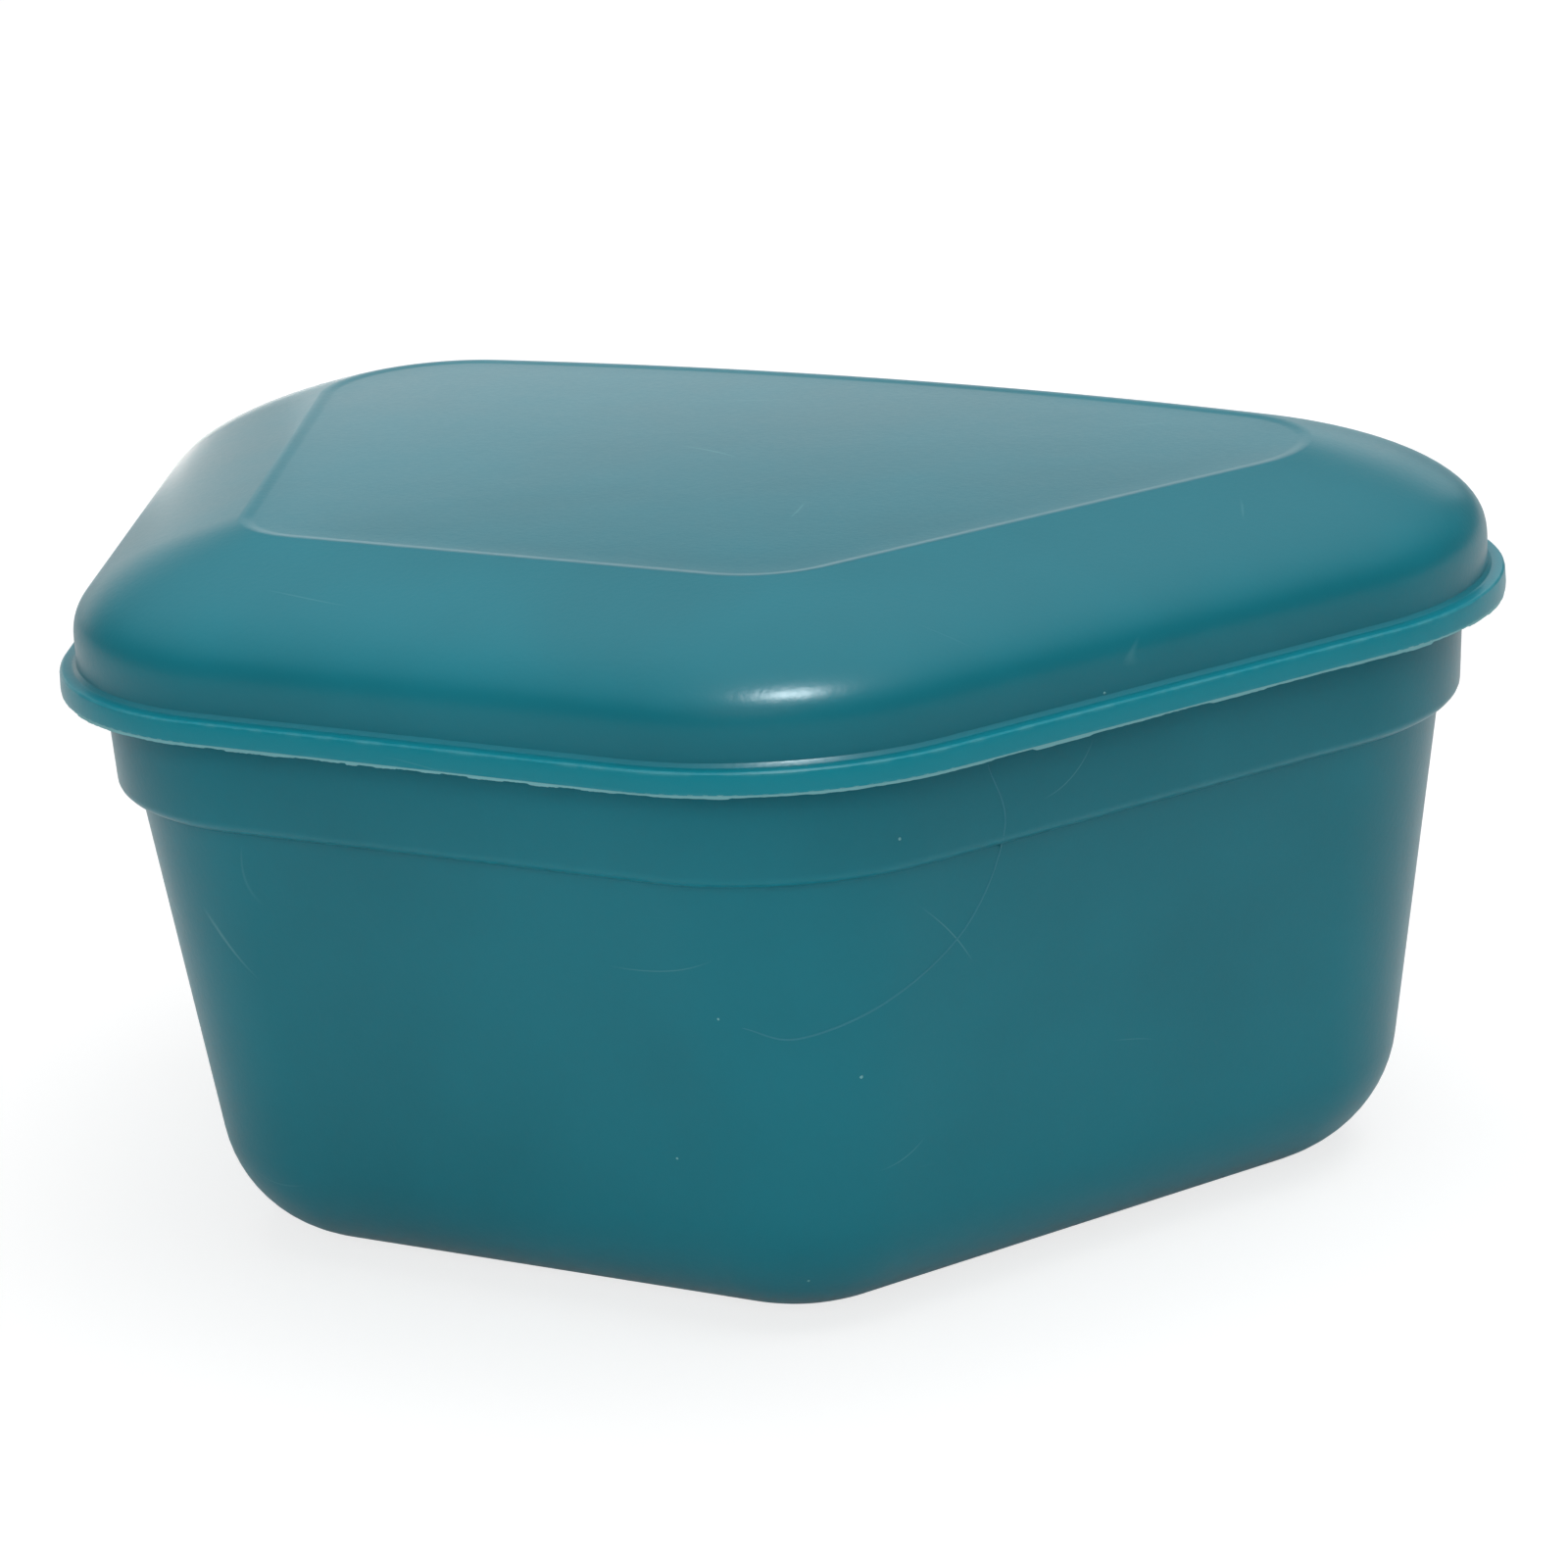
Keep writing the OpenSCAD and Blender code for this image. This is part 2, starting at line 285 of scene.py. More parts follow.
@dataclass(frozen=True)
class PlasticFinish:
    """Satin moulded polypropylene with its handling marks.

    Attributes:
        name: The material's name.
        body_colour: The plastic where it is thick.
        thin_glow_colour: A painted glow: a lighter colour that stands in for light coming through
            thin plastic, and on the bowl's collar step a painted highlight.
        worn_colour: Scratches and rubbed edges.
        dust_colour: Specks of dust.
        roughness: The surface's roughness, before grain and dust.
        least_roughness: What it never falls under.
        specular: Strength of its reflections.
        refraction: Its index of refraction.
        cloud_scale: Clouds of colour per metre.
        cloud_depth: How far they lighten and darken the colour.
        cloud_span: The noise's range that they use.
        cloud_roughness: How far they change the roughness.
        ripple_scale: Ripples of the surface per metre.
        ripple_weight: Their height against the grain's.
        grain_scale: Grains per metre.
        grain_height: Their height in metres.
        grain_roughness: How far they change the roughness.
        scratch_scale: Size of the scratches' wandering.
        scratch_width: Their width, as a share of the noise's range.
        scratch_share: How strongly they show.
        scratch_turns: How each set of scratches lies, in degrees.
        scratch_squeeze: How each set is drawn out.
        patch_scale: Patches per metre in which scratches show.
        patch_span: The noise's range that makes a patch.
        wear_scale: Rubs per metre along the edges.
        wear_span: The noise's range that makes a rub.
        dust_scale: Places for dust per metre.
        dust_share: How many of these places hold a speck.
        dust_span: Where a speck ends, as a share of its place.
        dust_roughness: What dust adds to the roughness.
    """

    name: str
    body_colour: Colour
    thin_glow_colour: Colour
    worn_colour: Colour
    dust_colour: Colour
    roughness: float = 0.3
    least_roughness: float = 0.28
    specular: float = 0.25
    refraction: float = 1.49
    cloud_scale: float = 38.0
    cloud_depth: float = 0.08
    cloud_span: Pair = (0.3, 0.7)
    cloud_roughness: float = 0.1
    ripple_scale: float = 228.0
    ripple_weight: float = 1.5
    grain_scale: float = 2600.0
    grain_height: float = 0.00001
    grain_roughness: float = 0.06
    scratch_scale: float = 60.0
    scratch_width: float = 0.002
    scratch_share: float = 0.35
    scratch_turns: tuple[Triple, ...] = ((12, 0, 24), (0, 37, -31), (58, 0, 71))
    scratch_squeeze: Triple = (0.5, 1.0, 1.0)
    patch_scale: float = 144.0
    patch_span: Pair = (0.69, 0.79)
    wear_scale: float = 684.0
    wear_span: Pair = (0.35, 0.65)
    dust_scale: float = 210.0
    dust_share: float = 0.01
    dust_span: Pair = (0.02, 0.07)
    dust_roughness: float = 0.4

    def _scratches(self, graph: ShaderGraph, where: Shade) -> Shade:
        """Draw short stretches of wandering hairlines, as handling leaves them.

        Args:
            graph: The material's graph.
            where: Object coordinates.

        Returns:
            1 on a scratch and 0 elsewhere.
        """
        total = None
        for turn in self.scratch_turns:
            lie = graph.stretched(where, turn, self.scratch_squeeze)
            sheet = graph.noise(lie, self.scratch_scale, 0.0)
            line = 1 - abs(sheet - 0.5).span(0.0, self.scratch_width)
            patch = graph.noise(lie, self.patch_scale, 0.0).span(*self.patch_span)
            marks = line * patch
            total = marks if total is None else total.most(marks)
        return total

    def _dust(self, graph: ShaderGraph, where: Shade) -> Shade:
        """Draw a few specks of dust.

        Args:
            graph: The material's graph.
            where: Object coordinates.

        Returns:
            1 on a speck and 0 elsewhere.
        """
        cell = {"Vector": where, "Scale": self.dust_scale}
        near = graph.add("ShaderNodeTexVoronoi", None, cell, "Distance")
        chance = graph.add("ShaderNodeTexVoronoi", None, cell, "Color")
        pick = graph.add("ShaderNodeSeparateColor", None, {"Color": chance}, "Red")
        return (pick < self.dust_share) * (1 - near.span(*self.dust_span))

    def build(self) -> bpy.types.Material:
        """Build the material.

        Returns:
            The material, for a mesh that carries the thin and worn attributes.
        """
        material = bpy.data.materials.new(self.name)
        material.use_nodes = True
        graph = ShaderGraph(material.node_tree)
        where = graph.add("ShaderNodeTexCoord", None, None, "Object")
        thin = graph.add("ShaderNodeAttribute", {"attribute_name": "thin"}, None, "Fac")
        worn = graph.add("ShaderNodeAttribute", {"attribute_name": "worn"}, None, "Fac")

        cloud = graph.noise(where, self.cloud_scale, 3.0, 0.55)
        grain = graph.noise(where, self.grain_scale, 2.0, 0.6)
        ripple = graph.noise(where, self.ripple_scale, 2.0)
        scratch = self._scratches(graph, where) * self.scratch_share
        dust = self._dust(graph, where)

        deep = tuple(channel * (1 - self.cloud_depth) for channel in self.body_colour)
        pale = tuple(channel * (1 + self.cloud_depth) for channel in self.body_colour)
        colour = graph.blend(cloud.span(*self.cloud_span), deep, pale)
        # Painted light: the thin mask lightens the colour, as a glow through thin plastic and as a
        # highlight on the bowl's collar step.
        colour = graph.blend(thin, colour, self.thin_glow_colour)
        edge_wear = worn * graph.noise(where, self.wear_scale, 3.0).span(*self.wear_span)
        colour = graph.blend(edge_wear, colour, self.worn_colour)
        colour = graph.blend(scratch, colour, self.worn_colour)
        colour = graph.blend(dust, colour, self.dust_colour)

        rough = self.roughness + (cloud - 0.5) * self.cloud_roughness
        rough = rough + (grain - 0.5) * self.grain_roughness
        rough = rough.most(self.least_roughness) + dust * self.dust_roughness

        height = grain + ripple * self.ripple_weight
        relief = {"Strength": 1.0, "Distance": self.grain_height, "Height": height}
        bump = graph.add("ShaderNodeBump", None, relief)
        looks = {
            "Base Color": colour,
            "Roughness": rough,
            "Specular IOR Level": self.specular,
            "IOR": self.refraction,
            "Normal": bump,
        }
        surface = graph.add("ShaderNodeBsdfPrincipled", None, looks)
        graph.add("ShaderNodeOutputMaterial", None, {"Surface": surface})
        return material


# ---- Plan outline and turned shells ----


@dataclass(frozen=True)
class Ring:
    """One turn of a shell round the outline."""

    inset: float
    height: float
    # thin is the share of painted light: a glow that stands in for light through thin plastic, and on
    # the bowl's collar step a painted highlight.
    thin: float = 0.0
    worn: float = 0.0


@dataclass(frozen=True)
class Outline:
    """The plan outline: a short front, two slanted sides and a bowed back, with round corners."""

    width: float
    depth: float
    slant: float = 25.2
    back_radius: float = 19.8
    front_radius: float = 17.9
    bow_radius: float = 188.0
    tight_radius: float = 1.2
    front_steps: int = 24
    back_steps: int = 40
    bow_steps: int = 14
    straight_steps: int = 8

    def bow_y(self) -> float:
        """Return the place of the bow's centre."""
        return self.depth / 2 - self.bow_radius

    def side_distance(self) -> float:
        """Measure how far the slanted sides are from the middle.

        Returns:
            The distance of each side's line from the origin.
        """
        x = self.width / 2 - self.back_radius
        y = self.bow_y() + math.sqrt((self.bow_radius - self.back_radius) ** 2 - x**2)
        turn = math.radians(self.slant)
        return x * math.cos(turn) - y * math.sin(turn) + self.back_radius

    def side_x(self, inset: float, y: float) -> float:
        """Return half the width on the slanted sides at an inset and a place from front to back."""
        turn = math.radians(self.slant)
        return (self.side_distance() - inset + y * math.sin(turn)) / math.cos(turn)

    def front_centre(self, reach: float) -> Vector:
        """Return the point of a front corner that is this far inside the front and the side."""
        y = reach - self.depth / 2
        return Vector((self.side_x(reach, y), y))

    def back_centre(self, reach: float) -> Vector:
        """Find a back corner's centre.

        Args:
            reach: Its distance inside the side and the bowed back.

        Returns:
            The centre, in plan.
        """
        turn = math.radians(self.slant)
        across = self.side_distance() - reach + self.bow_y() * math.sin(turn)
        along = math.sqrt((self.bow_radius - reach) ** 2 - across**2)
        x = across * math.cos(turn) + along * math.sin(turn)
        return Vector((x, self.bow_y() - across * math.sin(turn) + along * math.cos(turn)))

    def _half(self, inset: float) -> list[Vector]:
        """Work out the right half of the outline.

        Args:
            inset: Distance inwards from the outermost outline.

        Returns:
            Plan points, from the middle of the front to that of the back.
        """
        front_r = max(self.front_radius - inset, self.tight_radius)
        back_r = max(self.back_radius - inset, self.tight_radius)
        front_c = self.front_centre(inset + front_r)
        back_c = self.back_centre(inset + back_r)
        bow_half = math.atan2(back_c.x, back_c.y - self.bow_y())
        side = -math.radians(self.slant)

        def arc(centre: Vector, radius: float, start: float, end: float, steps: int) -> list[Vector]:
            """Return the points of an arc between two angles, with both ends."""
            angles = [start + (end - start) * i / steps for i in range(steps + 1)]
            return [centre + radius * Vector((math.cos(a), math.sin(a))) for a in angles]

        def between(start: Vector, end: Vector) -> list[Vector]:
            """Return the points of a straight, without its ends."""
            count = self.straight_steps
            return [start.lerp(end, i / count) for i in range(1, count)]

        middle = Vector((0.0, inset - self.depth / 2))
        front = arc(front_c, front_r, -math.pi / 2, side, self.front_steps)
        back = arc(back_c, back_r, side, math.pi / 2 - bow_half, self.back_steps)
        bow_c = Vector((0.0, self.bow_y()))
        bow_r = self.bow_radius - inset
        bow = arc(bow_c, bow_r, math.pi / 2 - bow_half, math.pi / 2, self.bow_steps)
        points = [middle, *between(middle, front[0]), *front]
        return points + between(front[-1], back[0]) + back + bow[1:]

    def ring(self, inset: float) -> list[Vector]:
        """Return the whole outline at an inset.

        Args:
            inset: Distance inwards from the outermost outline, in millimetres.

        Returns:
            Plan points, anticlockwise from the middle of the front.
        """
        half = self._half(inset)
        return half + [mirrored(point) for point in reversed(half[1:-1])]


def mirrored(point: Vector) -> Vector:
    """Return a plan point's twin on the other side of the case."""
    return Vector((-point.x, point.y))


def mirror(mesh: bpy.types.Mesh) -> None:
    """Turn a right-hand mesh into its left-hand twin."""
    mesh.transform(Matrix.Scale(-1, 4, (1, 0, 0)))
    mesh.flip_normals()


def shifted(x: float, y: float, z: float) -> Matrix:
    """Return a move by millimetres, for a mesh in metres."""
    return Matrix.Translation(Vector((x, y, z)) * MM)


def tube_faces(sides: int, turns: int) -> list[Face]:
    """Join rings of points into a closed tube.

    Args:
        sides: Points of each ring.
        turns: How many rings there are, one after another.

    Returns:
        The first end, the faces between the rings and the last end.
    """
    faces: list[Face] = [tuple(reversed(range(sides)))]
    for low in range(0, (turns - 1) * sides, sides):
        high = low + sides
        for i in range(sides):
            after = (i + 1) % sides
            faces.append((low + i, low + after, high + after, high + i))
    faces.append(tuple(range((turns - 1) * sides, turns * sides)))
    return faces


def mesh_of(name: str, points: Sequence[Any], faces: Sequence[Face]) -> bpy.types.Mesh:
    """Make a mesh.

    Args:
        name: Its name.
        points: Its points, in metres.
        faces: The faces between them.

    Returns:
        The mesh.
    """
    mesh = bpy.data.meshes.new(name)
    mesh.from_pydata(points, [], faces)
    return mesh


def finished(name: str, bm: bmesh.types.BMesh) -> bpy.types.Mesh:
    """Turn an edit mesh into a mesh, and free it.

    Args:
        name: The mesh's name.
        bm: The edit mesh.

    Returns:
        The mesh.
    """
    mesh = bpy.data.meshes.new(name)
    bm.to_mesh(mesh)
    bm.free()
    return mesh


def raise_faces(bm: bmesh.types.BMesh, move: Triple) -> None:
    """Draw flat faces out into a solid.

    Args:
        bm: The edit mesh that holds the faces.
        move: How far to draw them out, in metres.
    """
    grown = bmesh.ops.extrude_face_region(bm, geom=bm.faces[:])["geom"]
    moved = [item for item in grown if isinstance(item, bmesh.types.BMVert)]
    bmesh.ops.translate(bm, verts=moved, vec=Vector(move))
    bmesh.ops.recalc_face_normals(bm, faces=bm.faces[:])


def new_object(name: str, mesh: bpy.types.Mesh) -> bpy.types.Object:
    """Link a mesh into the scene as an object.

    Args:
        name: The piece's name.
        mesh: Its mesh, in metres.

    Returns:
        The object.
    """
    mesh.name = name
    obj = bpy.data.objects.new(name, mesh)
    bpy.context.scene.collection.objects.link(obj)
    return obj


def shade(obj: bpy.types.Object, sharp_angle: float) -> None:
    """Shade a piece smooth, but for edges sharper than an angle in degrees."""
    obj.data.shade_smooth()
    obj.data.set_sharp_from_angle(angle=math.radians(sharp_angle))


def turned_shell(
    name: str,
    outline: Outline,
    rings: Sequence[Ring],
    sharp_angle: float = 32.0,
    crown: Sequence[Pair] = (),
) -> bpy.types.Object:
    """Turn a profile round the outline and close both its ends.

    Args:
        name: The piece's name.
        outline: The plan outline.
        rings: The profile. It starts at a flat face looking down, runs outwards, over the
            rim and back in, and ends at a face looking up.
        sharp_angle: Edges sharper than this, in degrees, are shaded as corners.
        crown: Further turns that shrink the last one to its middle, as (share, height).

    Returns:
        The shell, with thin and worn as attributes of its points.
    """
    points: list[Triple] = []
    for ring in rings:
        points += [(p.x * MM, p.y * MM, ring.height * MM) for p in outline.ring(ring.inset)]
    last = outline.ring(rings[-1].inset)
    middle = Vector((0.0, (min(p.y for p in last) + max(p.y for p in last)) / 2))
    for share, height in crown:
        points += [(*((middle + (p - middle) * share) * MM), height * MM) for p in last]
    rings = [*rings, *(Ring(rings[-1].inset, height) for _, height in crown)]
    count = len(points) // len(rings)
    mesh = mesh_of(name, points, tube_faces(count, len(rings)))
    for label in ("thin", "worn"):
        values = [getattr(ring, label) for ring in rings for _ in range(count)]
        mesh.attributes.new(label, "FLOAT", "POINT").data.foreach_set("value", values)
    obj = new_object(name, mesh)
    shade(obj, sharp_angle)
    return obj


def lathed(name: str, profile: Sequence[Pair], steps: int = 40) -> bpy.types.Object:
    """Turn a profile of (radius, height) millimetres about Z, closed at both ends.

    Args:
        name: The piece's name.
        profile: The profile, from the bottom up.
        steps: Steps round the axis.

    Returns:
        The solid, centred on the origin.
    """
    points = [
        (r * math.cos(a) * MM, r * math.sin(a) * MM, z * MM)
        for r, z in profile
        for a in (2 * math.pi * i / steps for i in range(steps))
    ]
    obj = new_object(name, mesh_of(name, points, tube_faces(steps, len(profile))))
    shade(obj, 35.0)
    return obj


def prism(
    name: str, plan: Sequence[Vector], low: float, high: float, ease: float, steps: int = 3
) -> bpy.types.Object:
    """Raise a plan outline into a solid with eased edges.

    Args:
        name: The piece's name.
        plan: The outline, anticlockwise, in millimetres.
        low: Height of its underside.
        high: Height of its top.
        ease: Radius of its edges.
        steps: Steps of that rounding.

    Returns:
        The solid.
    """
    bm = bmesh.new()
    bm.faces.new([bm.verts.new((p.x * MM, p.y * MM, low * MM)) for p in plan])
    raise_faces(bm, (0, 0, (high - low) * MM))
    obj = new_object(name, finished(name, bm))
    ease_edges(obj, ease, steps, 40.0)
    shade(obj, 40.0)
    return obj


def ease_edges(obj: bpy.types.Object, radius: float, steps: int, angle: float) -> None:
    """Round a piece's edges.

    Args:
        obj: The piece.
        radius: Radius of the rounding, in millimetres.
        steps: Steps of the rounding.
        angle: Edges sharper than this, in degrees, are rounded.
    """
    bevel = obj.modifiers.new("ease", "BEVEL")
    bevel.width, bevel.segments = radius * MM, steps
    bevel.limit_method, bevel.angle_limit = "ANGLE", math.radians(angle)
    bake_modifiers(obj)


def bake_modifiers(obj: bpy.types.Object) -> None:
    """Turn what a piece's modifiers make of it into its mesh.

    Args:
        obj: The piece.
    """
    depsgraph = bpy.context.evaluated_depsgraph_get()
    mesh = bpy.data.meshes.new_from_object(obj.evaluated_get(depsgraph))
    obj.modifiers.clear()
    obj.data = mesh


def cut(obj: bpy.types.Object, cutters: Iterable[bpy.types.Object]) -> None:
    """Cut solids out of a piece and remove them.

    Args:
        obj: The piece.
        cutters: Closed solids that don't touch each other.
    """
    cutters = list(cutters)
    with bpy.context.temp_override(
        active_object=cutters[0], selected_editable_objects=cutters
    ):
        bpy.ops.object.join()
    modifier = obj.modifiers.new("cut", "BOOLEAN")
    modifier.operation = "DIFFERENCE"
    modifier.solver = "EXACT"
    modifier.object = cutters[0]
    bake_modifiers(obj)
    bpy.data.objects.remove(cutters[0])


def fillet(centre: Vector, radius: float, wall_angle: float, steps: int = 10) -> list[Vector]:
    """Roll a level face into a wall that leans by an angle.

    Args:
        centre: Centre of the turn, as (inset, height).
        radius: Radius of the turn.
        wall_angle: Lean of the wall from upright, in radians.
        steps: Steps of the turn.

    Returns:
        Profile points from the level face to the wall.
    """
    quarter = math.pi / 2
    angles = [quarter + (wall_angle - quarter) * i / steps for i in range(steps + 1)]
    return [centre - radius * Vector((math.cos(a), math.sin(a))) for a in angles]


def rings_of(points: Iterable[Vector], thin: float = 0.0, worn: float = 0.0) -> list[Ring]:
    """Make profile rings of (inset, height) points."""
    return [Ring(point.x, point.y, thin, worn) for point in points]


def eased(
    edge: Pair, radius: float, across: int, up: int, thin: Triple = (0.0, 0.0, 0.0), worn: float = 0.0
) -> list[Ring]:
    """Round the edge between an upright wall and a level face.

    Args:
        edge: The edge before it is rounded, as (inset, height).
        radius: Radius of the rounding.
        across: 1 where the face lies at larger insets than the wall, else -1.
        up: 1 where the wall rises from the edge, and -1 where it hangs from it.
        thin: The share of painted glow on each ring, a lighter colour that stands in for light coming
            through thin plastic.
        worn: How worn the face's own edge is.

    Returns:
        Three rings, from the wall to the face.
    """
    inset, height = edge
    bend = radius * 0.3
    return [
        Ring(inset, height + up * radius, thin[0]),
        Ring(inset + across * bend, height + up * bend, thin[1]),
        Ring(inset + across * radius, height, thin[2], worn),
    ]


# ---- The camera that took the picture ----


@dataclass(frozen=True)
class PhotoCamera:
    """The photograph's camera, as fitted to the case's outline. Angles are in degrees."""

    azimuth: float = 30.387
    elevation: float = 16.795
    roll: float = -3.393
    distance: float = 359.223
    focal_pixels: float = 5911.23
    target_across: float = 4.277
    target_height: float = 24.383
    sensor_width: float = 36.0

    def axes(self) -> tuple[Vector, Vector, Vector]:
        """Work out how the camera is turned.

        Returns:
            Its right, up and backward directions.
        """
        turn, lift = math.radians(self.azimuth), math.radians(self.elevation)
        level = math.cos(lift)
        back = Vector((math.sin(turn) * level, -math.cos(turn) * level, math.sin(lift)))
        right = Vector((0, 0, 1)).cross(back).normalized()
        up = back.cross(right)
        tilt = math.radians(self.roll)
        turned_right = right * math.cos(tilt) + up * math.sin(tilt)
        turned_up = up * math.cos(tilt) - right * math.sin(tilt)
        return turned_right, turned_up, back

    def place(self) -> Vector:
        """Work out where the camera stands.

        Returns:
            Its place, in metres.
        """
        turn = math.radians(self.azimuth)
        across = Vector((math.cos(turn), math.sin(turn), 0)) * self.target_across
        target = across + Vector((0, 0, self.target_height))
        return (target + self.axes()[2] * self.distance) * MM

    def ray(self, x: float, y: float) -> Vector:
        """Aim through a pixel of the photograph.

        Args:
            x: The pixel's place across.
            y: The pixel's place down.

        Returns:
            The direction.
        """
        right, up, back = self.axes()
        half = PHOTO_SIZE / 2
        aim = right * (x - half) + up * (half - y) - back * self.focal_pixels
        return aim.normalized()

    def build(self) -> None:
        """Create the scene's camera."""
        data = bpy.data.cameras.new("camera")
        data.sensor_width = self.sensor_width
        data.lens = self.focal_pixels / PHOTO_SIZE * self.sensor_width
        data.clip_start = 0.01
        camera = bpy.data.objects.new("camera", data)
        right, up, back = self.axes()
        turn = Matrix((right, up, back)).transposed().to_4x4()
        camera.matrix_world = Matrix.Translation(self.place()) @ turn
        bpy.context.scene.collection.objects.link(camera)
        bpy.context.scene.camera = camera


# ---- Pieces ----


@dataclass
class Piece:
    """What every sub-assembly shares: its outline, its body and its slot."""

    outline: Outline
    body: Body
    slot: Slot

    def fit(self, obj: bpy.types.Object, material: bpy.types.Material, *nodes: str) -> None:
        """Dress a piece and put it on its body.

        Args:
            obj: The piece.
            material: Its finish.
            nodes: The frame's nodes that it stands for.
        """
        obj.data.materials.clear()
        obj.data.materials.append(material)
        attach(obj, self.body.value)
        if nodes:
            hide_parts(*nodes)
        LOG.info("%s: %d faces on body %s", obj.name, len(obj.data.polygons), self.body.value)


@dataclass
class Bowl(Piece):
    """The deep bowl, with its collar, inner ledge and foot ring."""

    wall: float = 1.6
    step_height: float = 29.2
    step_inset: float = 4.2
    base_inset: float = 8.5
    base_radius: float = 8.5
    collar_inset: float = 2.9
    collar_draft: float = 0.3
    step_round: float = 0.9
    rim_height: float = 35.7
    rim_round: float = 0.3
    bead: float = 0.25
    bead_drop: float = 1.0
    bead_half: float = 0.5
    foot_width: float = 2.6
    foot_recess: float = 0.5
    foot_wear: float = 0.35
    # Painted glow on the rim's top, standing in for light coming through the thin plastic.
    rim_glow: float = 0.3
    rim_wear: float = 0.2
    gate_radius: float = 1.3
    gate_height: float = 0.3

    def lean(self) -> float:
        """Return how much inset the wall loses per millimetre of height."""
        return (self.base_inset - self.step_inset) / self.step_height

    def stretch(self) -> float:
        """Return the wall's length per millimetre of height."""
        return math.hypot(1, self.lean())

    def wall_inset(self, height: float) -> float:
        """Return the outer wall's inset at a height."""
        return self.base_inset - self.lean() * height

    def tilt(self) -> float:
        """Return how far the wall leans from upright, in radians."""
        return math.atan(self.lean())

    def turn_inset(self) -> float:
        """Return the inset of the centre of the roll from base to wall."""
        return self.wall_inset(self.base_radius) + self.base_radius * self.stretch()

    def ledge_height(self) -> float:
        """Return the height of the inner ledge."""
        return self.step_height + self.wall

    def ledge_inset(self) -> float:
        """Return the inset of the ledge's inner edge."""
        return self.wall_inset(self.ledge_height()) + self.wall * self.stretch()

    def _outside(self) -> list[Ring]:
        """Draw the outer profile.

        Returns:
            Rings from the middle of the base up to the rim.
        """
        centre = Vector((self.turn_inset(), self.base_radius))
        foot = self.turn_inset() + self.foot_width
        rings = [
            Ring(foot + 0.6, self.foot_recess),
            Ring(foot + 0.25, self.foot_recess - 0.08),
            Ring(foot + 0.08, 0.12),
            Ring(foot, 0.0, 0.0, self.foot_wear),
        ]
        rings += rings_of(fillet(centre, self.base_radius, self.tilt(), 16))
        for share in (0.25, 0.5, 0.75, 0.97):
            height = self.base_radius + (self.step_height - self.base_radius) * share
            rings.append(Ring(self.wall_inset(height), height))
        rings.append(Ring(self.step_inset, self.step_height))
        flare = self.step_inset - self.collar_inset
        for angle_deg in (12, 30, 48, 66, 80, 90):
            turn = math.radians(angle_deg)
            height = self.step_height + self.step_round * (1 - math.cos(turn))
            # Painted highlight: the thin mask lightens the middle of the collar step's roll, where it
            # would catch light.
            edge = 0.25 * math.sin(turn * 2)
            rings.append(Ring(self.step_inset - flare * math.sin(turn), height, edge))
        return rings + self._rim(self.collar_inset - self.collar_draft, 1)

    def _rim(self, inset: float, across: int) -> list[Ring]:
        """Round one edge of the rim.

        Args:
            inset: The inset of the wall there.
            across: 1 on the outer edge and -1 on the inner one.

        Returns:
            Rings from the wall to the rim's top.
        """
        edge = (inset, self.rim_height)
        return eased(edge, self.rim_round, across, -1, (0.0, 0.0, self.rim_glow), self.rim_wear)

    def _inside(self) -> list[Ring]:
        """Draw the inner profile.

        Returns:
            Rings from the rim down to the middle of the floor.
        """
        foot = self.collar_inset + self.wall
        top = foot - self.collar_draft
        bead_z = self.rim_height - self.bead_drop
        bead = ((0.0, 1.0), (0.8, 0.4), (1.0, 0.0), (0.8, -0.4), (0.0, -1.0))
        centre = Vector((self.turn_inset(), self.base_radius))
        turn = fillet(centre, self.base_radius - self.wall, self.tilt(), 14)
        return [
            *reversed(self._rim(top, -1)),
            *(Ring(top + self.bead * proud, bead_z + self.bead_half * z) for proud, z in bead),
            Ring(foot - 0.05, self.ledge_height() + 0.15),
            Ring(foot + 0.12, self.ledge_height()),
            Ring(self.ledge_inset() - 0.12, self.ledge_height()),
            Ring(self.ledge_inset(), self.ledge_height() - 0.12),
            *rings_of(reversed(turn)),
        ]

    def build(self, finish: PlasticFinish) -> bpy.types.Object:
        """Build the bowl and its gate mark.

        Args:
            finish: The bowl's plastic.

        Returns:
            The bowl, for what is laid on it.
        """
        material = finish.build()
        bowl = turned_shell("bowl_shell", self.outline, self._outside() + self._inside())
        self.fit(bowl, material, "bowl")
        nub = [
            (self.gate_radius * 0.55, self.foot_recess - self.gate_height),
            (self.gate_radius * 0.7, self.foot_recess - self.gate_height * 0.8),
            (self.gate_radius, self.foot_recess + 0.05),
        ]
        self.fit(lathed("bowl_gate_mark", nub), material)
        return bowl


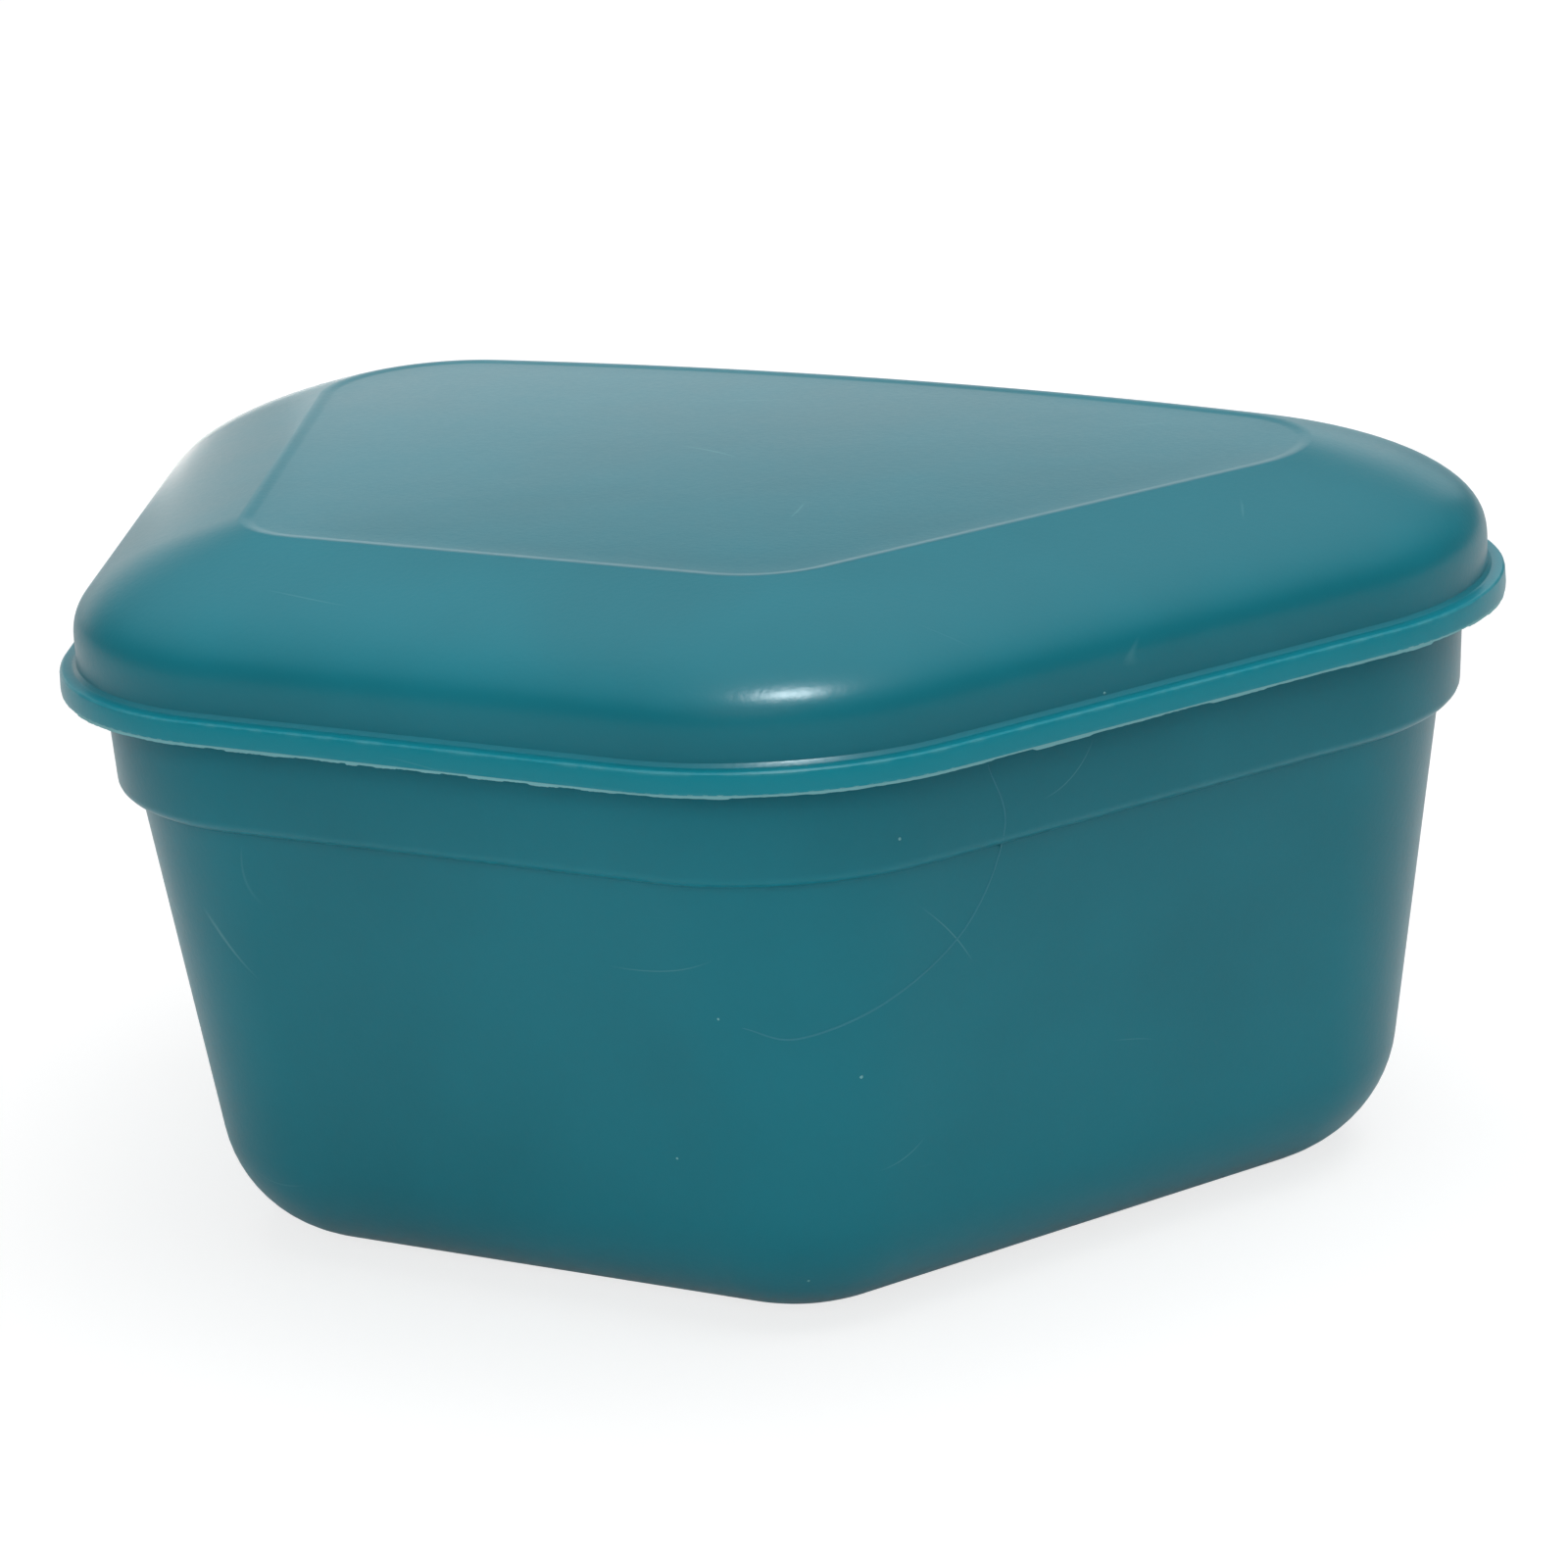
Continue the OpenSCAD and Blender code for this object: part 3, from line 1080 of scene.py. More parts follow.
@dataclass
class Lid(Piece):
    """The domed lid, with its flange, plug rib, creased panel and moulding flash."""

    wall: float = 1.5
    rim_height: float = 35.7
    flange: float = 1.4
    top: float = 45.2
    edge_round: float = 0.3
    dome_inset: float = 1.0
    foot_round: float = 0.3
    foot_rise: float = 2.2
    foot_lean: float = 0.6
    crown_run: float = 13.0
    crown_slope: float = 0.25
    panel_inset: float = 11.5
    crease_round: float = 0.14
    dish_width: float = 0.8
    dish_depth: float = 0.08
    dish_steps: int = 8
    crease_lip: float = 0.004
    crown_steps: int = 14
    plug_inset: float = 4.9
    plug_width: float = 1.2
    plug_drop: float = 2.6
    plug_bead: float = 0.3
    plug_bead_height: float = 33.8
    bead_half: float = 0.5
    dome_steps: int = 28
    flash_drop: float = 0.22
    flash_insets: Pair = (0.02, 0.12)
    flash_levels: Pair = (0.1, 0.5)
    flash_jitter: float = 0.07
    flash_teeth: tuple[int, int] = (3, 16)
    flash_seed: int = 7

    def flange_top(self) -> float:
        """Return the height of the flange's upper face."""
        return self.rim_height + self.flange

    def _dome(self, share: float) -> tuple[Vector, Vector]:
        """Find a point of the dome's curve.

        Args:
            share: 0 at the foot and 1 at the crease.

        Returns:
            The point and the direction, as (inset, height).
        """
        a = Vector((self.dome_inset, self.flange_top()))
        b = a + Vector((self.foot_lean, self.foot_rise))
        d = Vector((self.panel_inset, self.top))
        c = d - self.crown_run * Vector((1, self.crown_slope))
        u, v = share, 1 - share
        point = v**3 * a + 3 * v * v * u * b + 3 * v * u * u * c + u**3 * d
        way = v * v * (b - a) + 2 * v * u * (c - b) + u * u * (d - c)
        return point, way.normalized()

    def _inside(self) -> list[Ring]:
        """Draw the inner profile.

        Returns:
            Rings from the middle of the panel's underside to the flange.
        """
        rings = [Ring(self.panel_inset + self.wall * self.crown_slope, self.top - self.wall)]
        for i in range(self.dome_steps - 1, 0, -1):
            point, way = self._dome(i / self.dome_steps)
            inner = point + self.wall * Vector((way.y, -way.x))
            if inner.y > self.flange_top() + 0.3:
                rings.append(Ring(inner.x, inner.y))
        plug_inner = self.plug_inset + self.plug_width
        bottom = self.rim_height - self.plug_drop
        rings += [
            Ring(self.dome_inset + self.wall + 0.2, self.flange_top()),
            Ring(plug_inner - 0.15, self.flange_top()),
            Ring(plug_inner, self.flange_top() - 0.15),
            *eased((plug_inner, bottom), self.edge_round, -1, 1),
            *reversed(eased((self.plug_inset, bottom), self.edge_round, 1, 1)),
            Ring(self.plug_inset - self.plug_bead * 0.9, self.plug_bead_height - 0.15),
            Ring(self.plug_inset - self.plug_bead, self.plug_bead_height),
            Ring(self.plug_inset - self.plug_bead * 0.6, self.plug_bead_height + 0.25),
            Ring(self.plug_inset, self.plug_bead_height + self.bead_half),
            Ring(self.plug_inset, self.rim_height),
        ]
        return rings

    def _outside(self) -> list[Ring]:
        """Draw the outer profile.

        Returns:
            Rings from the flange's lower edge over the dome to the panel.
        """
        top, edge = self.flange_top(), self.edge_round
        # The third value of these rings is painted glow: the flange is lightened to stand in for
        # light coming through its thin plastic, fading over its top edge into the dome's foot.
        rings = [
            Ring(1.4, self.rim_height, 0.9),
            Ring(edge * 0.5, self.rim_height, 1.0),
            Ring(0.02, self.rim_height + 0.08, 1.0, 0.1),
            Ring(0.0, self.rim_height + 0.3, 1.0),
            Ring(0.03, top - edge, 1.0),
            Ring(edge * 0.25, top - edge * 0.45, 0.95, 0.2),
            Ring(edge * 0.6, top - edge * 0.12, 0.85, 0.15),
            Ring(edge, top, 0.7),
            Ring(self.dome_inset - self.foot_round, top - 0.03, 0.35),
        ]
        for angle_deg in (30, 60):
            turn = math.radians(angle_deg)
            inset = self.dome_inset - self.foot_round * (1 - math.sin(turn))
            rings.append(Ring(inset, top + self.foot_round * (1 - math.cos(turn)) - 0.02, 0.2))
        for i in range(1, self.dome_steps):
            point, _ = self._dome(i / self.dome_steps)
            rings.append(Ring(point.x, point.y))
        for share in (2.5, 1.0, 0.4):
            back = self.crease_round * share
            rings.append(Ring(self.panel_inset - back, self.top - back * self.crown_slope))
        brink = self.top - self.crease_lip
        rings.append(Ring(self.panel_inset + self.crease_round * 0.3, brink))
        for i in range(1, self.dish_steps + 1):
            share = i / self.dish_steps
            fall = self.dish_depth * share * share * (3 - 2 * share)
            inset = self.panel_inset + self.crease_round + self.dish_width * share
            rings.append(Ring(inset, brink - fall * (1 - self.crease_lip / self.dish_depth)))
        return rings

    def _crown(self) -> list[Pair]:
        """Raise the dished panel to its full height.

        Returns:
            Its turns, as (share of the last ring, height).
        """
        count = self.crown_steps
        shares = [1 - i / count for i in range(1, count)]
        return [(share, self.top - self.dish_depth * share * share) for share in shares]

    def _flash(self) -> bpy.types.Object:
        """Build the ragged fin of flash along the flange's lower edge.

        Returns:
            The fin, as thin as paper and of uneven depth.
        """
        draw = random.Random(self.flash_seed)
        fine = replace(
            self.outline, front_steps=90, back_steps=140, bow_steps=100, straight_steps=110
        )
        outer, inner = (fine.ring(inset) for inset in self.flash_insets)
        count = len(outer)
        points: list[Triple] = []
        level, left = 0.3, 0
        for i in range(count):
            if left == 0:
                level = draw.uniform(*self.flash_levels) + 0.5 * draw.random() ** 4
                left = draw.randint(*self.flash_teeth)
            left -= 1
            jitter = draw.uniform(-self.flash_jitter, self.flash_jitter)
            depth = self.flash_drop * min(level + jitter, 1.0)
            lip = outer[i].lerp(inner[i], 0.3)
            points.append((outer[i].x * MM, outer[i].y * MM, (self.rim_height + 0.12) * MM))
            points.append((lip.x * MM, lip.y * MM, (self.rim_height - depth) * MM))
            points.append((inner[i].x * MM, inner[i].y * MM, (self.rim_height + 0.02) * MM))
        faces = []
        for i in range(count):
            here, there = 3 * i, 3 * ((i + 1) % count)
            for side in range(3):
                after = (side + 1) % 3
                faces.append((here + side, here + after, there + after, there + side))
        mesh = mesh_of("lid_flash", points, faces)
        mesh.flip_normals()
        obj = new_object("lid_flash", mesh)
        shade(obj, 60.0)
        return obj

    def build(self, finish: PlasticFinish, flash_finish: PlasticFinish) -> bpy.types.Object:
        """Build the lid and its flash.

        Args:
            finish: The lid's plastic.
            flash_finish: The paler look of plastic as thin as paper.

        Returns:
            The lid, for what is laid on it.
        """
        profile = self._inside() + self._outside()
        lid = turned_shell("lid_shell", self.outline, profile, 24.0, self._crown())
        self.fit(lid, finish.build(), "lid")
        self.fit(self._flash(), flash_finish.build())
        return lid


@dataclass
class StrainerBasket(Piece):
    """The perforated basket that hangs on the bowl's ledge, with its ears, brackets and pads."""

    bowl: Bowl = field(kw_only=True)
    gap: float = 0.4
    wall: float = 1.2
    rim: float = 1.2
    drain_gap: float = 4.0
    turn_radius: float = 6.0
    edge_round: float = 0.3
    hole_diameter: float = 3.2
    hole_pitch: float = 6.6
    hole_margin: float = 1.5
    hole_steps: int = 28
    slot_width: float = 2.4
    slot_length: float = 13.0
    slot_pitch: float = 6.0
    slot_reach: float = 4.0
    slot_drop: float = 1.0
    slot_steps: int = 12
    pivot_y: float = 3.0
    ear_thickness: float = 1.6
    ear_radius: float = 2.4
    arch_steps: int = 24
    bore_steps: int = 48
    ear_ease: float = 0.2
    block_ease: float = 0.25
    block_drop: float = 0.01
    pin_diameter: float = 2.2
    pin_gap: float = 0.05
    rest_gap: float = 0.3
    hub_radius: float = 2.0
    bracket: float = 3.6
    bracket_proud: float = 0.06
    pad_width: float = 5.0
    pad_x: float = 8.0
    bar_inset: float = 8.6
    bar_width: float = 2.8
    plug_inner: float = 6.1
    sink: float = 0.4

    def bottom(self) -> float:
        """Return the height of the basket's underside."""
        return self.bowl.wall + self.drain_gap

    def rim_top(self) -> float:
        """Return the height of the basket's rim."""
        return self.bowl.ledge_height() + self.rim

    def outer_inset(self) -> float:
        """Return the inset of the wall's outer face at the ledge."""
        return self.bowl.ledge_inset() + self.gap

    def inner_inset(self) -> float:
        """Return the inset of the wall's inner face at the ledge."""
        return self.outer_inset() + self.wall * self.bowl.stretch()

    def turn_centre(self) -> Vector:
        """Find the centre of the roll from wall to floor.

        Returns:
            The centre, as (inset, height).
        """
        height = self.bottom() + self.turn_radius
        fall = self.bowl.lean() * (self.bowl.ledge_height() - height)
        return Vector((self.outer_inset() + fall + self.turn_radius * self.bowl.stretch(), height))

    def pivot_height(self) -> float:
        """Return the height of the handle's pivots."""
        return self.rim_top() + self.rest_gap + self.hub_radius

    def ear_x(self) -> float:
        """Return the place of the ears' outer faces."""
        inset = self.plug_inner + self.rest_gap
        return self.outline.side_x(inset, self.pivot_y - self.ear_radius)

    def _profile(self) -> list[Ring]:
        """Draw the basket's profile.

        Returns:
            Rings from the middle of the underside, over the rim, to the middle of the floor.
        """
        angle, ledge = self.bowl.tilt(), self.bowl.ledge_height()
        rim = self.bowl.collar_inset + self.bowl.wall + self.gap
        # The rim's top takes a painted glow, standing in for light coming through the thin plastic.
        top, edge, thin = self.rim_top(), self.edge_round, (0.0, 0.3, 0.4)
        centre = self.turn_centre()
        rings = rings_of(fillet(centre, self.turn_radius, angle, 10))
        rings += [
            Ring(self.outer_inset(), ledge - 0.1),
            Ring(self.outer_inset() - 0.1, ledge),
            Ring(rim + 0.1, ledge),
            Ring(rim, ledge + 0.1),
            *eased((rim, top), edge, 1, -1, thin),
            *reversed(eased((self.inner_inset(), top), edge, -1, -1, thin)),
        ]
        rings += rings_of(reversed(fillet(centre, self.turn_radius - self.wall, angle, 9)))
        return rings

    def _inset_at(self, x: float, y: float) -> float:
        """Measure how far inside the outline a point is, away from its corners.

        Args:
            x: Its place across.
            y: Its place from front to back.

        Returns:
            The distance from the nearest straight or bowed side.
        """
        turn = math.radians(self.outline.slant)
        side = self.outline.side_distance() + y * math.sin(turn) - abs(x) * math.cos(turn)
        back = self.outline.bow_radius - math.hypot(x, y - self.outline.bow_y())
        return min(y + self.outline.depth / 2, side, back)

    def _hole_cutters(self) -> list[bpy.types.Object]:
        """Lay out the drain holes on a staggered grid.

        Returns:
            A cutter for each hole in the floor.
        """
        radius, deep = self.hole_diameter / 2, self.wall + 2 * self.sink
        margin = self.turn_centre().x + radius + self.hole_margin
        columns = int(self.outline.width / self.hole_pitch / 2)
        rows = int(self.outline.depth / self.hole_pitch / 2)
        found = []
        for row in range(-rows, rows + 1):
            y = row * self.hole_pitch * math.sin(STAGGER)
            for column in range(-columns, columns + 1):
                x = (column + abs(row) % 2 / 2) * self.hole_pitch
                if self._inset_at(x, y) > margin:
                    cutter = lathed("hole", [(radius, 0), (radius, deep)], self.hole_steps)
                    cutter.data.transform(shifted(x, y, self.bottom() - self.sink))
                    found.append(cutter)
        return found

    def _slot_cutter(self, place: Vector, heading: float, height: float) -> bpy.types.Object:
        """Make the cutter of one slot.

        Args:
            place: Where it crosses the wall, in plan.
            heading: Direction outwards, in radians.
            height: Height of its middle.

        Returns:
            A round-ended bar through the wall.
        """
        reach, radius = self.slot_reach, self.slot_width / 2
        half = self.slot_length / 2 - radius
        section = []
        for end, start in ((1, 0.0), (-1, math.pi)):
            for i in range(self.slot_steps + 1):
                a = start + math.pi * i / self.slot_steps
                section.append((radius * math.cos(a), end * half + radius * math.sin(a)))
        points = [Vector((end * reach, x, z)) * MM for end in (-1, 1) for x, z in section]
        mesh = mesh_of("slot", points, tube_faces(len(section), 2))
        mesh.transform(shifted(place.x, place.y, height) @ Matrix.Rotation(heading, 4, "Z"))
        return new_object("slot", mesh)

    def _slot_cutters(self) -> list[bpy.types.Object]:
        """Lay out the drain slots along the two sides, the front and the bowed back.

        Returns:
            A cutter for each slot in the walls.
        """
        ledge = self.bowl.ledge_height()
        height = (self.turn_centre().y + ledge) / 2 - self.slot_drop
        wall_at = self.bowl.wall_inset(height) - self.bowl.wall_inset(ledge)
        wall_at += (self.outer_inset() + self.inner_inset()) / 2
        front_r = self.outline.front_radius
        back_r = self.outline.back_radius
        front_c, back_c = self.outline.front_centre(front_r), self.outline.back_centre(back_r)
        side = -math.radians(self.outline.slant)
        out = Vector((math.cos(side), math.sin(side)))
        start, end = front_c + (front_r - wall_at) * out, back_c + (back_r - wall_at) * out
        front = Vector((front_c.x, front_c.y - front_r + wall_at))
        rows = (
            (start, end, side),
            (mirrored(start), mirrored(end), math.pi - side),
            (mirrored(front), front, -math.pi / 2),
        )
        found = []
        for first, last, heading in rows:
            length = (last - first).length
            count = int((length - self.slot_width) / self.slot_pitch)
            for i in range(count + 1):
                share = 0.5 + (i - count / 2) * self.slot_pitch / length
                found.append(self._slot_cutter(first.lerp(last, share), heading, height))
        bow_r = self.outline.bow_radius - wall_at
        count = int((2 * back_c.x - self.slot_width) / self.slot_pitch)
        for i in range(count + 1):
            a = math.pi / 2 + math.asin((i - count / 2) * self.slot_pitch / bow_r)
            place = Vector((bow_r * math.cos(a), self.outline.bow_y() + bow_r * math.sin(a)))
            found.append(self._slot_cutter(place, a, height))
        return found

    def _ear(self, side: Side) -> bpy.types.Object:
        """Build one ear with its bore.

        Args:
            side: The ear's side.

        Returns:
            The ear, standing on the rim.
        """
        r, bore = self.ear_radius, self.pin_diameter / 2 + self.pin_gap
        base = self.rim_top() - self.bracket - self.pivot_height()
        arch = [math.pi * i / self.arch_steps for i in range(self.arch_steps + 1)]
        outer = [(r * math.cos(a), r * math.sin(a)) for a in arch]
        outer += [(-r, base), (r, base)]
        turns = [2 * math.pi * i / self.bore_steps for i in range(self.bore_steps)]
        hole = [(bore * math.cos(a), bore * math.sin(a)) for a in turns]
        bm = bmesh.new()
        edges = []
        for loop in (outer, hole):
            verts = [bm.verts.new((0.0, y * MM, z * MM)) for y, z in loop]
            for i, vert in enumerate(verts):
                edges.append(bm.edges.new((vert, verts[(i + 1) % len(verts)])))
        bmesh.ops.triangle_fill(bm, edges=edges, use_beauty=True, use_dissolve=True)
        raise_faces(bm, (-self.ear_thickness * MM, 0, 0))
        mesh = finished("ear", bm)
        mesh.transform(shifted(self.ear_x(), self.pivot_y, self.pivot_height()))
        if side is Side.LEFT:
            mirror(mesh)
        obj = new_object(f"basket_ear_{side.label()}", mesh)
        ease_edges(obj, self.ear_ease, 2, 30.0)
        shade(obj, 35.0)
        return obj

    def _block(self, name: str, plan: list[Vector], low: float) -> bpy.types.Object:
        """Raise a block of the basket to just under its rim's top.

        Args:
            name: The block's name.
            plan: Its outline.
            low: Height of its underside.

        Returns:
            The block.
        """
        return prism(name, plan, low, self.rim_top() - self.block_drop, self.block_ease)

    def _pad(self, side: Side) -> bpy.types.Object:
        """Build one of the pads that the bar lies on, at the front of the rim.

        Args:
            side: The pad's side.

        Returns:
            The pad.
        """
        front = -self.outline.depth / 2
        near, far = sorted(side.value * x for x in (self.pad_x, self.pad_x + self.pad_width))
        outer = front + self.inner_inset() - self.sink
        inner = front + self.bar_inset + self.bar_width
        corners = ((near, outer), (far, outer), (far, inner), (near, inner))
        plan = [Vector(corner) for corner in corners]
        return self._block(f"rest_pad_{side.label()}", plan, self.rim_top() - self.rim)

    def _bracket(self, side: Side) -> bpy.types.Object:
        """Build the bracket that carries one ear, up against the slanted wall.

        Args:
            side: The bracket's side.

        Returns:
            The bracket.
        """
        sunk = self.inner_inset() - self.sink
        half = self.ear_radius + self.bracket_proud
        front, back = self.pivot_y - half, self.pivot_y + half
        inner = self.ear_x() - self.ear_thickness - self.bracket_proud
        plan = [
            Vector((inner, front)),
            Vector((self.outline.side_x(sunk, front), front)),
            Vector((self.outline.side_x(sunk, back), back)),
            Vector((inner, back)),
        ]
        if side is Side.LEFT:
            plan = [mirrored(point) for point in reversed(plan)]
        low = self.rim_top() - self.bracket - self.bracket_proud
        return self._block(f"ear_bracket_{side.label()}", plan, low)

    def build(self, finish: PlasticFinish) -> None:
        """Build the basket, its ears with their brackets, and the pads for the handle.

        Args:
            finish: The basket's plastic.
        """
        material = finish.build()
        basket = turned_shell("strainer_shell", self.outline, self._profile())
        cut(basket, self._hole_cutters())
        cut(basket, self._slot_cutters())
        shade(basket, 32.0)
        self.fit(basket, material, "strainer_basket")
        for side in Side:
            for piece in (self._ear(side), self._pad(side), self._bracket(side)):
                self.fit(piece, material)


@dataclass
class BasketHandle(Piece):
    """The bail that lifts the basket out."""

    basket: StrainerBasket = field(kw_only=True)
    thickness: float = 2.4
    edge_round: float = 0.6
    hub_ease: float = 0.3
    hub_ease_middle: float = 0.08

    def hub_x(self) -> float:
        """Return the place of the hubs' outer faces."""
        basket = self.basket
        return basket.ear_x() - basket.ear_thickness - basket.rest_gap

    def _bar(self) -> bpy.types.Object:
        """Build the bar that follows the front of the outline.

        Returns:
            The bar.
        """
        basket = self.basket
        limit, end = self.hub_x(), basket.pivot_y

        def front_part(inset: float) -> list[Vector]:
            """Trim the outline to its front.

            Args:
                inset: Distance inwards from the outermost outline.

            Returns:
                Plan points, from left to right.
            """
            ring = self.outline.ring(inset)
            right = [p for p in ring if p.x >= 0 and p.y < end]
            right = [Vector((min(p.x, limit), p.y)) for p in right]
            right.append(Vector((min(self.outline.side_x(inset, end), limit), end)))
            left = [mirrored(p) for p in reversed(right) if p.x > 0]
            return left + right

        outer = front_part(basket.bar_inset)
        inner = front_part(basket.bar_inset + basket.bar_width)
        base = basket.rim_top() + basket.rest_gap
        plan = outer + inner[::-1]
        return prism("bail_bar", plan, base, base + self.thickness, self.edge_round, 4)

    def _hub(self, side: Side) -> bpy.types.Object:
        """Build one hub with its pin, turned about the pivot's axis.

        Args:
            side: The hub's side.

        Returns:
            The hub.
        """
        basket = self.basket
        inner = self.outline.side_x(basket.bar_inset + basket.bar_width, basket.pivot_y)
        inner -= basket.sink
        width, r, pin = self.hub_x() - inner, basket.hub_radius, basket.pin_diameter / 2
        tip = basket.ear_x() - inner - basket.rest_gap / 2
        ease, nick = self.hub_ease, self.hub_ease_middle
        profile = [(r - ease, 0), (r - nick, nick), (r, ease), (r, width - ease)]
        profile += [(r - nick, width - nick), (r - ease, width), (pin, width)]
        profile += [(pin, tip - 0.25), (pin - 0.08, tip - 0.07), (pin - 0.25, tip)]
        obj = lathed(f"bail_hub_{side.label()}", profile)
        turn = Matrix.Rotation(math.radians(90), 4, "Y")
        obj.data.transform(shifted(inner, basket.pivot_y, basket.pivot_height()) @ turn)
        if side is Side.LEFT:
            mirror(obj.data)
        return obj

    def build(self, finish: PlasticFinish) -> None:
        """Build the bail's bar and its hubs.

        Args:
            finish: The handle's plastic.
        """
        material = finish.build()
        self.fit(self._bar(), material, "basket_handle")
        for side in Side:
            self.fit(self._hub(side), material)


@dataclass(frozen=True)
class Lint:
    """The hair and the specks that lie on the case, placed where the photograph shows them.

    Places are pixels of the photograph, carried through its camera on to the pieces.
    """

    camera: PhotoCamera
    hair: tuple[Pixel, ...] = (
        (1008, 780), (1025, 845), (986, 945), (905, 1022), (815, 1060), (757, 1049)
    )
    hair_radius: float = 0.07
    hair_end: float = 0.2
    hair_steps: int = 14
    hair_sides: int = 6
    bowl_specks: tuple[Pixel, ...] = ((733, 1040), (691, 1182), (825, 1307), (879, 1099), (918, 856))
    lid_specks: tuple[Pixel, ...] = ((1127, 707),)
    speck_radius: float = 0.1
    speck_sizes: Pair = (0.7, 1.1)
    speck_dents: Pair = (0.8, 1.1)
    speck_flatness: float = 0.5
    seed: int = 3

    def _landing(self, surface: BVHTree, pixel: Vector) -> tuple[Vector, Vector]:
        """Carry a pixel on to a piece.

        Args:
            surface: The piece's surface.
            pixel: The pixel.

        Returns:
            Where its ray meets the piece, and the surface's normal there.
        """
        place, normal, _, _ = surface.ray_cast(self.camera.place(), self.camera.ray(*pixel))
        return place, normal

    def _curve(self) -> list[Vector]:
        """Smooth the hair's few points.

        Returns:
            Pixels along the curve through them.
        """
        knots = [Vector(pixel) for pixel in self.hair]
        knots = [2 * knots[0] - knots[1], *knots, 2 * knots[-1] - knots[-2]]
        found = []
        for a, b, c, d in zip(knots, knots[1:], knots[2:], knots[3:]):
            for i in range(self.hair_steps):
                u = i / self.hair_steps
                bend = 2 * a - 5 * b + 4 * c - d
                twist = 3 * b - a - 3 * c + d
                found.append(0.5 * (2 * b + (c - a) * u + bend * u * u + twist * u**3))
        return [*found, knots[-2]]

    def _hair(self, surface: BVHTree) -> bpy.types.Object:
        """Lay the hair on the bowl.

        Args:
            surface: The bowl's surface.

        Returns:
            A fine tube, pressed flat against the wall and drawn out at its ends.
        """
        landings = [self._landing(surface, pixel) for pixel in self._curve()]
        count, sides = len(landings), self.hair_sides
        points: list[Vector] = []
        for i, (place, normal) in enumerate(landings):
            ahead = landings[min(i + 1, count - 1)][0] - landings[max(i - 1, 0)][0]
            across = ahead.cross(normal).normalized()
            swell = math.sin(math.pi * i / (count - 1)) ** 0.3
            radius = self.hair_radius * MM * max(self.hair_end, swell)
            for side in range(sides):
                turn = 2 * math.pi * side / sides
                lift = normal * (math.sin(turn) * 0.4 + 0.2)
                points.append(place + radius * (across * math.cos(turn) + lift))
        mesh = mesh_of("bowl_hair", points, tube_faces(sides, count))
        mesh.flip_normals()
        obj = new_object("bowl_hair", mesh)
        shade(obj, 60.0)
        return obj

    def _specks(
        self, name: str, surface: BVHTree, pixels: Sequence[Pixel], draw: random.Random
    ) -> bpy.types.Object:
        """Drop grains of dust on a piece.

        Args:
            name: The grains' name.
            surface: The piece's surface.
            pixels: Where the photograph shows them.
            draw: Draws their uneven shapes.

        Returns:
            The grains, as one object.
        """
        bm = bmesh.new()
        for pixel in pixels:
            place, normal = self._landing(surface, Vector(pixel))
            lie = Matrix.Translation(place) @ normal.to_track_quat("Z", "Y").to_matrix().to_4x4()
            radius = self.speck_radius * MM * draw.uniform(*self.speck_sizes)
            grain = bmesh.ops.create_icosphere(bm, subdivisions=2, radius=radius)["verts"]
            for vert in grain:
                vert.co *= draw.uniform(*self.speck_dents)
                vert.co.z *= self.speck_flatness
            bmesh.ops.transform(bm, matrix=lie, verts=grain)
        obj = new_object(name, finished(name, bm))
        shade(obj, 60.0)
        return obj

    def build(self, bowl: Bowl, shell: bpy.types.Object, lid: Lid, dome: bpy.types.Object) -> None:
        """Lay the lint on the bowl and the lid.

        Args:
            bowl: The bowl, whose body the hair rides on.
            shell: The bowl's mesh.
            lid: The lid.
            dome: The lid's mesh.
        """
        draw = random.Random(self.seed)
        depsgraph = bpy.context.evaluated_depsgraph_get()
        wall = BVHTree.FromObject(shell, depsgraph)
        top = BVHTree.FromObject(dome, depsgraph)
        hair = PlasticFinish("hair", LINT, LINT, LINT, LINT, roughness=0.5).build()
        dust = PlasticFinish("dust_grain", PALE_TEAL, DUST, DUST, DUST, roughness=0.6).build()
        bowl.fit(self._hair(wall), hair)
        bowl.fit(self._specks("bowl_specks", wall, self.bowl_specks, draw), dust)
        lid.fit(self._specks("lid_specks", top, self.lid_specks, draw), dust)


# ---- The room ----

WHITE = (1.0, 1.0, 1.0)
COOL_WHITE = (0.91, 1.02, 1.07)
WARM_WHITE = (1.1, 0.98, 0.92)


@dataclass(frozen=True)
class SoftBox:
    """An area light that is aimed at the middle of the case. Places and sizes are metres.

    Attributes:
        name: The light's name.
        place: Where it stands.
        size: Its width and height.
        power: Its power in watts.
        shows_in_gloss: Whether it shows as a reflection.
        lights_diffuse: Whether it lights what is not glossy.
        colour: Its colour.
        target: The point that it is aimed at.
    """

    name: str
    place: Triple
    size: Pair
    power: float
    shows_in_gloss: bool = True
    lights_diffuse: bool = True
    colour: Colour = WHITE
    target: Triple = (0.0, 0.0, 0.025)

    def build(self) -> None:
        """Create the light."""
        data = bpy.data.lights.new(self.name, "AREA")
        data.shape = "RECTANGLE"
        data.size, data.size_y = self.size
        data.energy = self.power
        data.color = self.colour
        light = bpy.data.objects.new(self.name, data)
        light.location = self.place
        aim = Vector(self.target) - Vector(self.place)
        light.rotation_euler = aim.to_track_quat("-Z", "Y").to_euler()
        light.visible_camera = False
        light.visible_glossy = self.shows_in_gloss
        light.visible_diffuse = self.lights_diffuse
        bpy.context.scene.collection.objects.link(light)


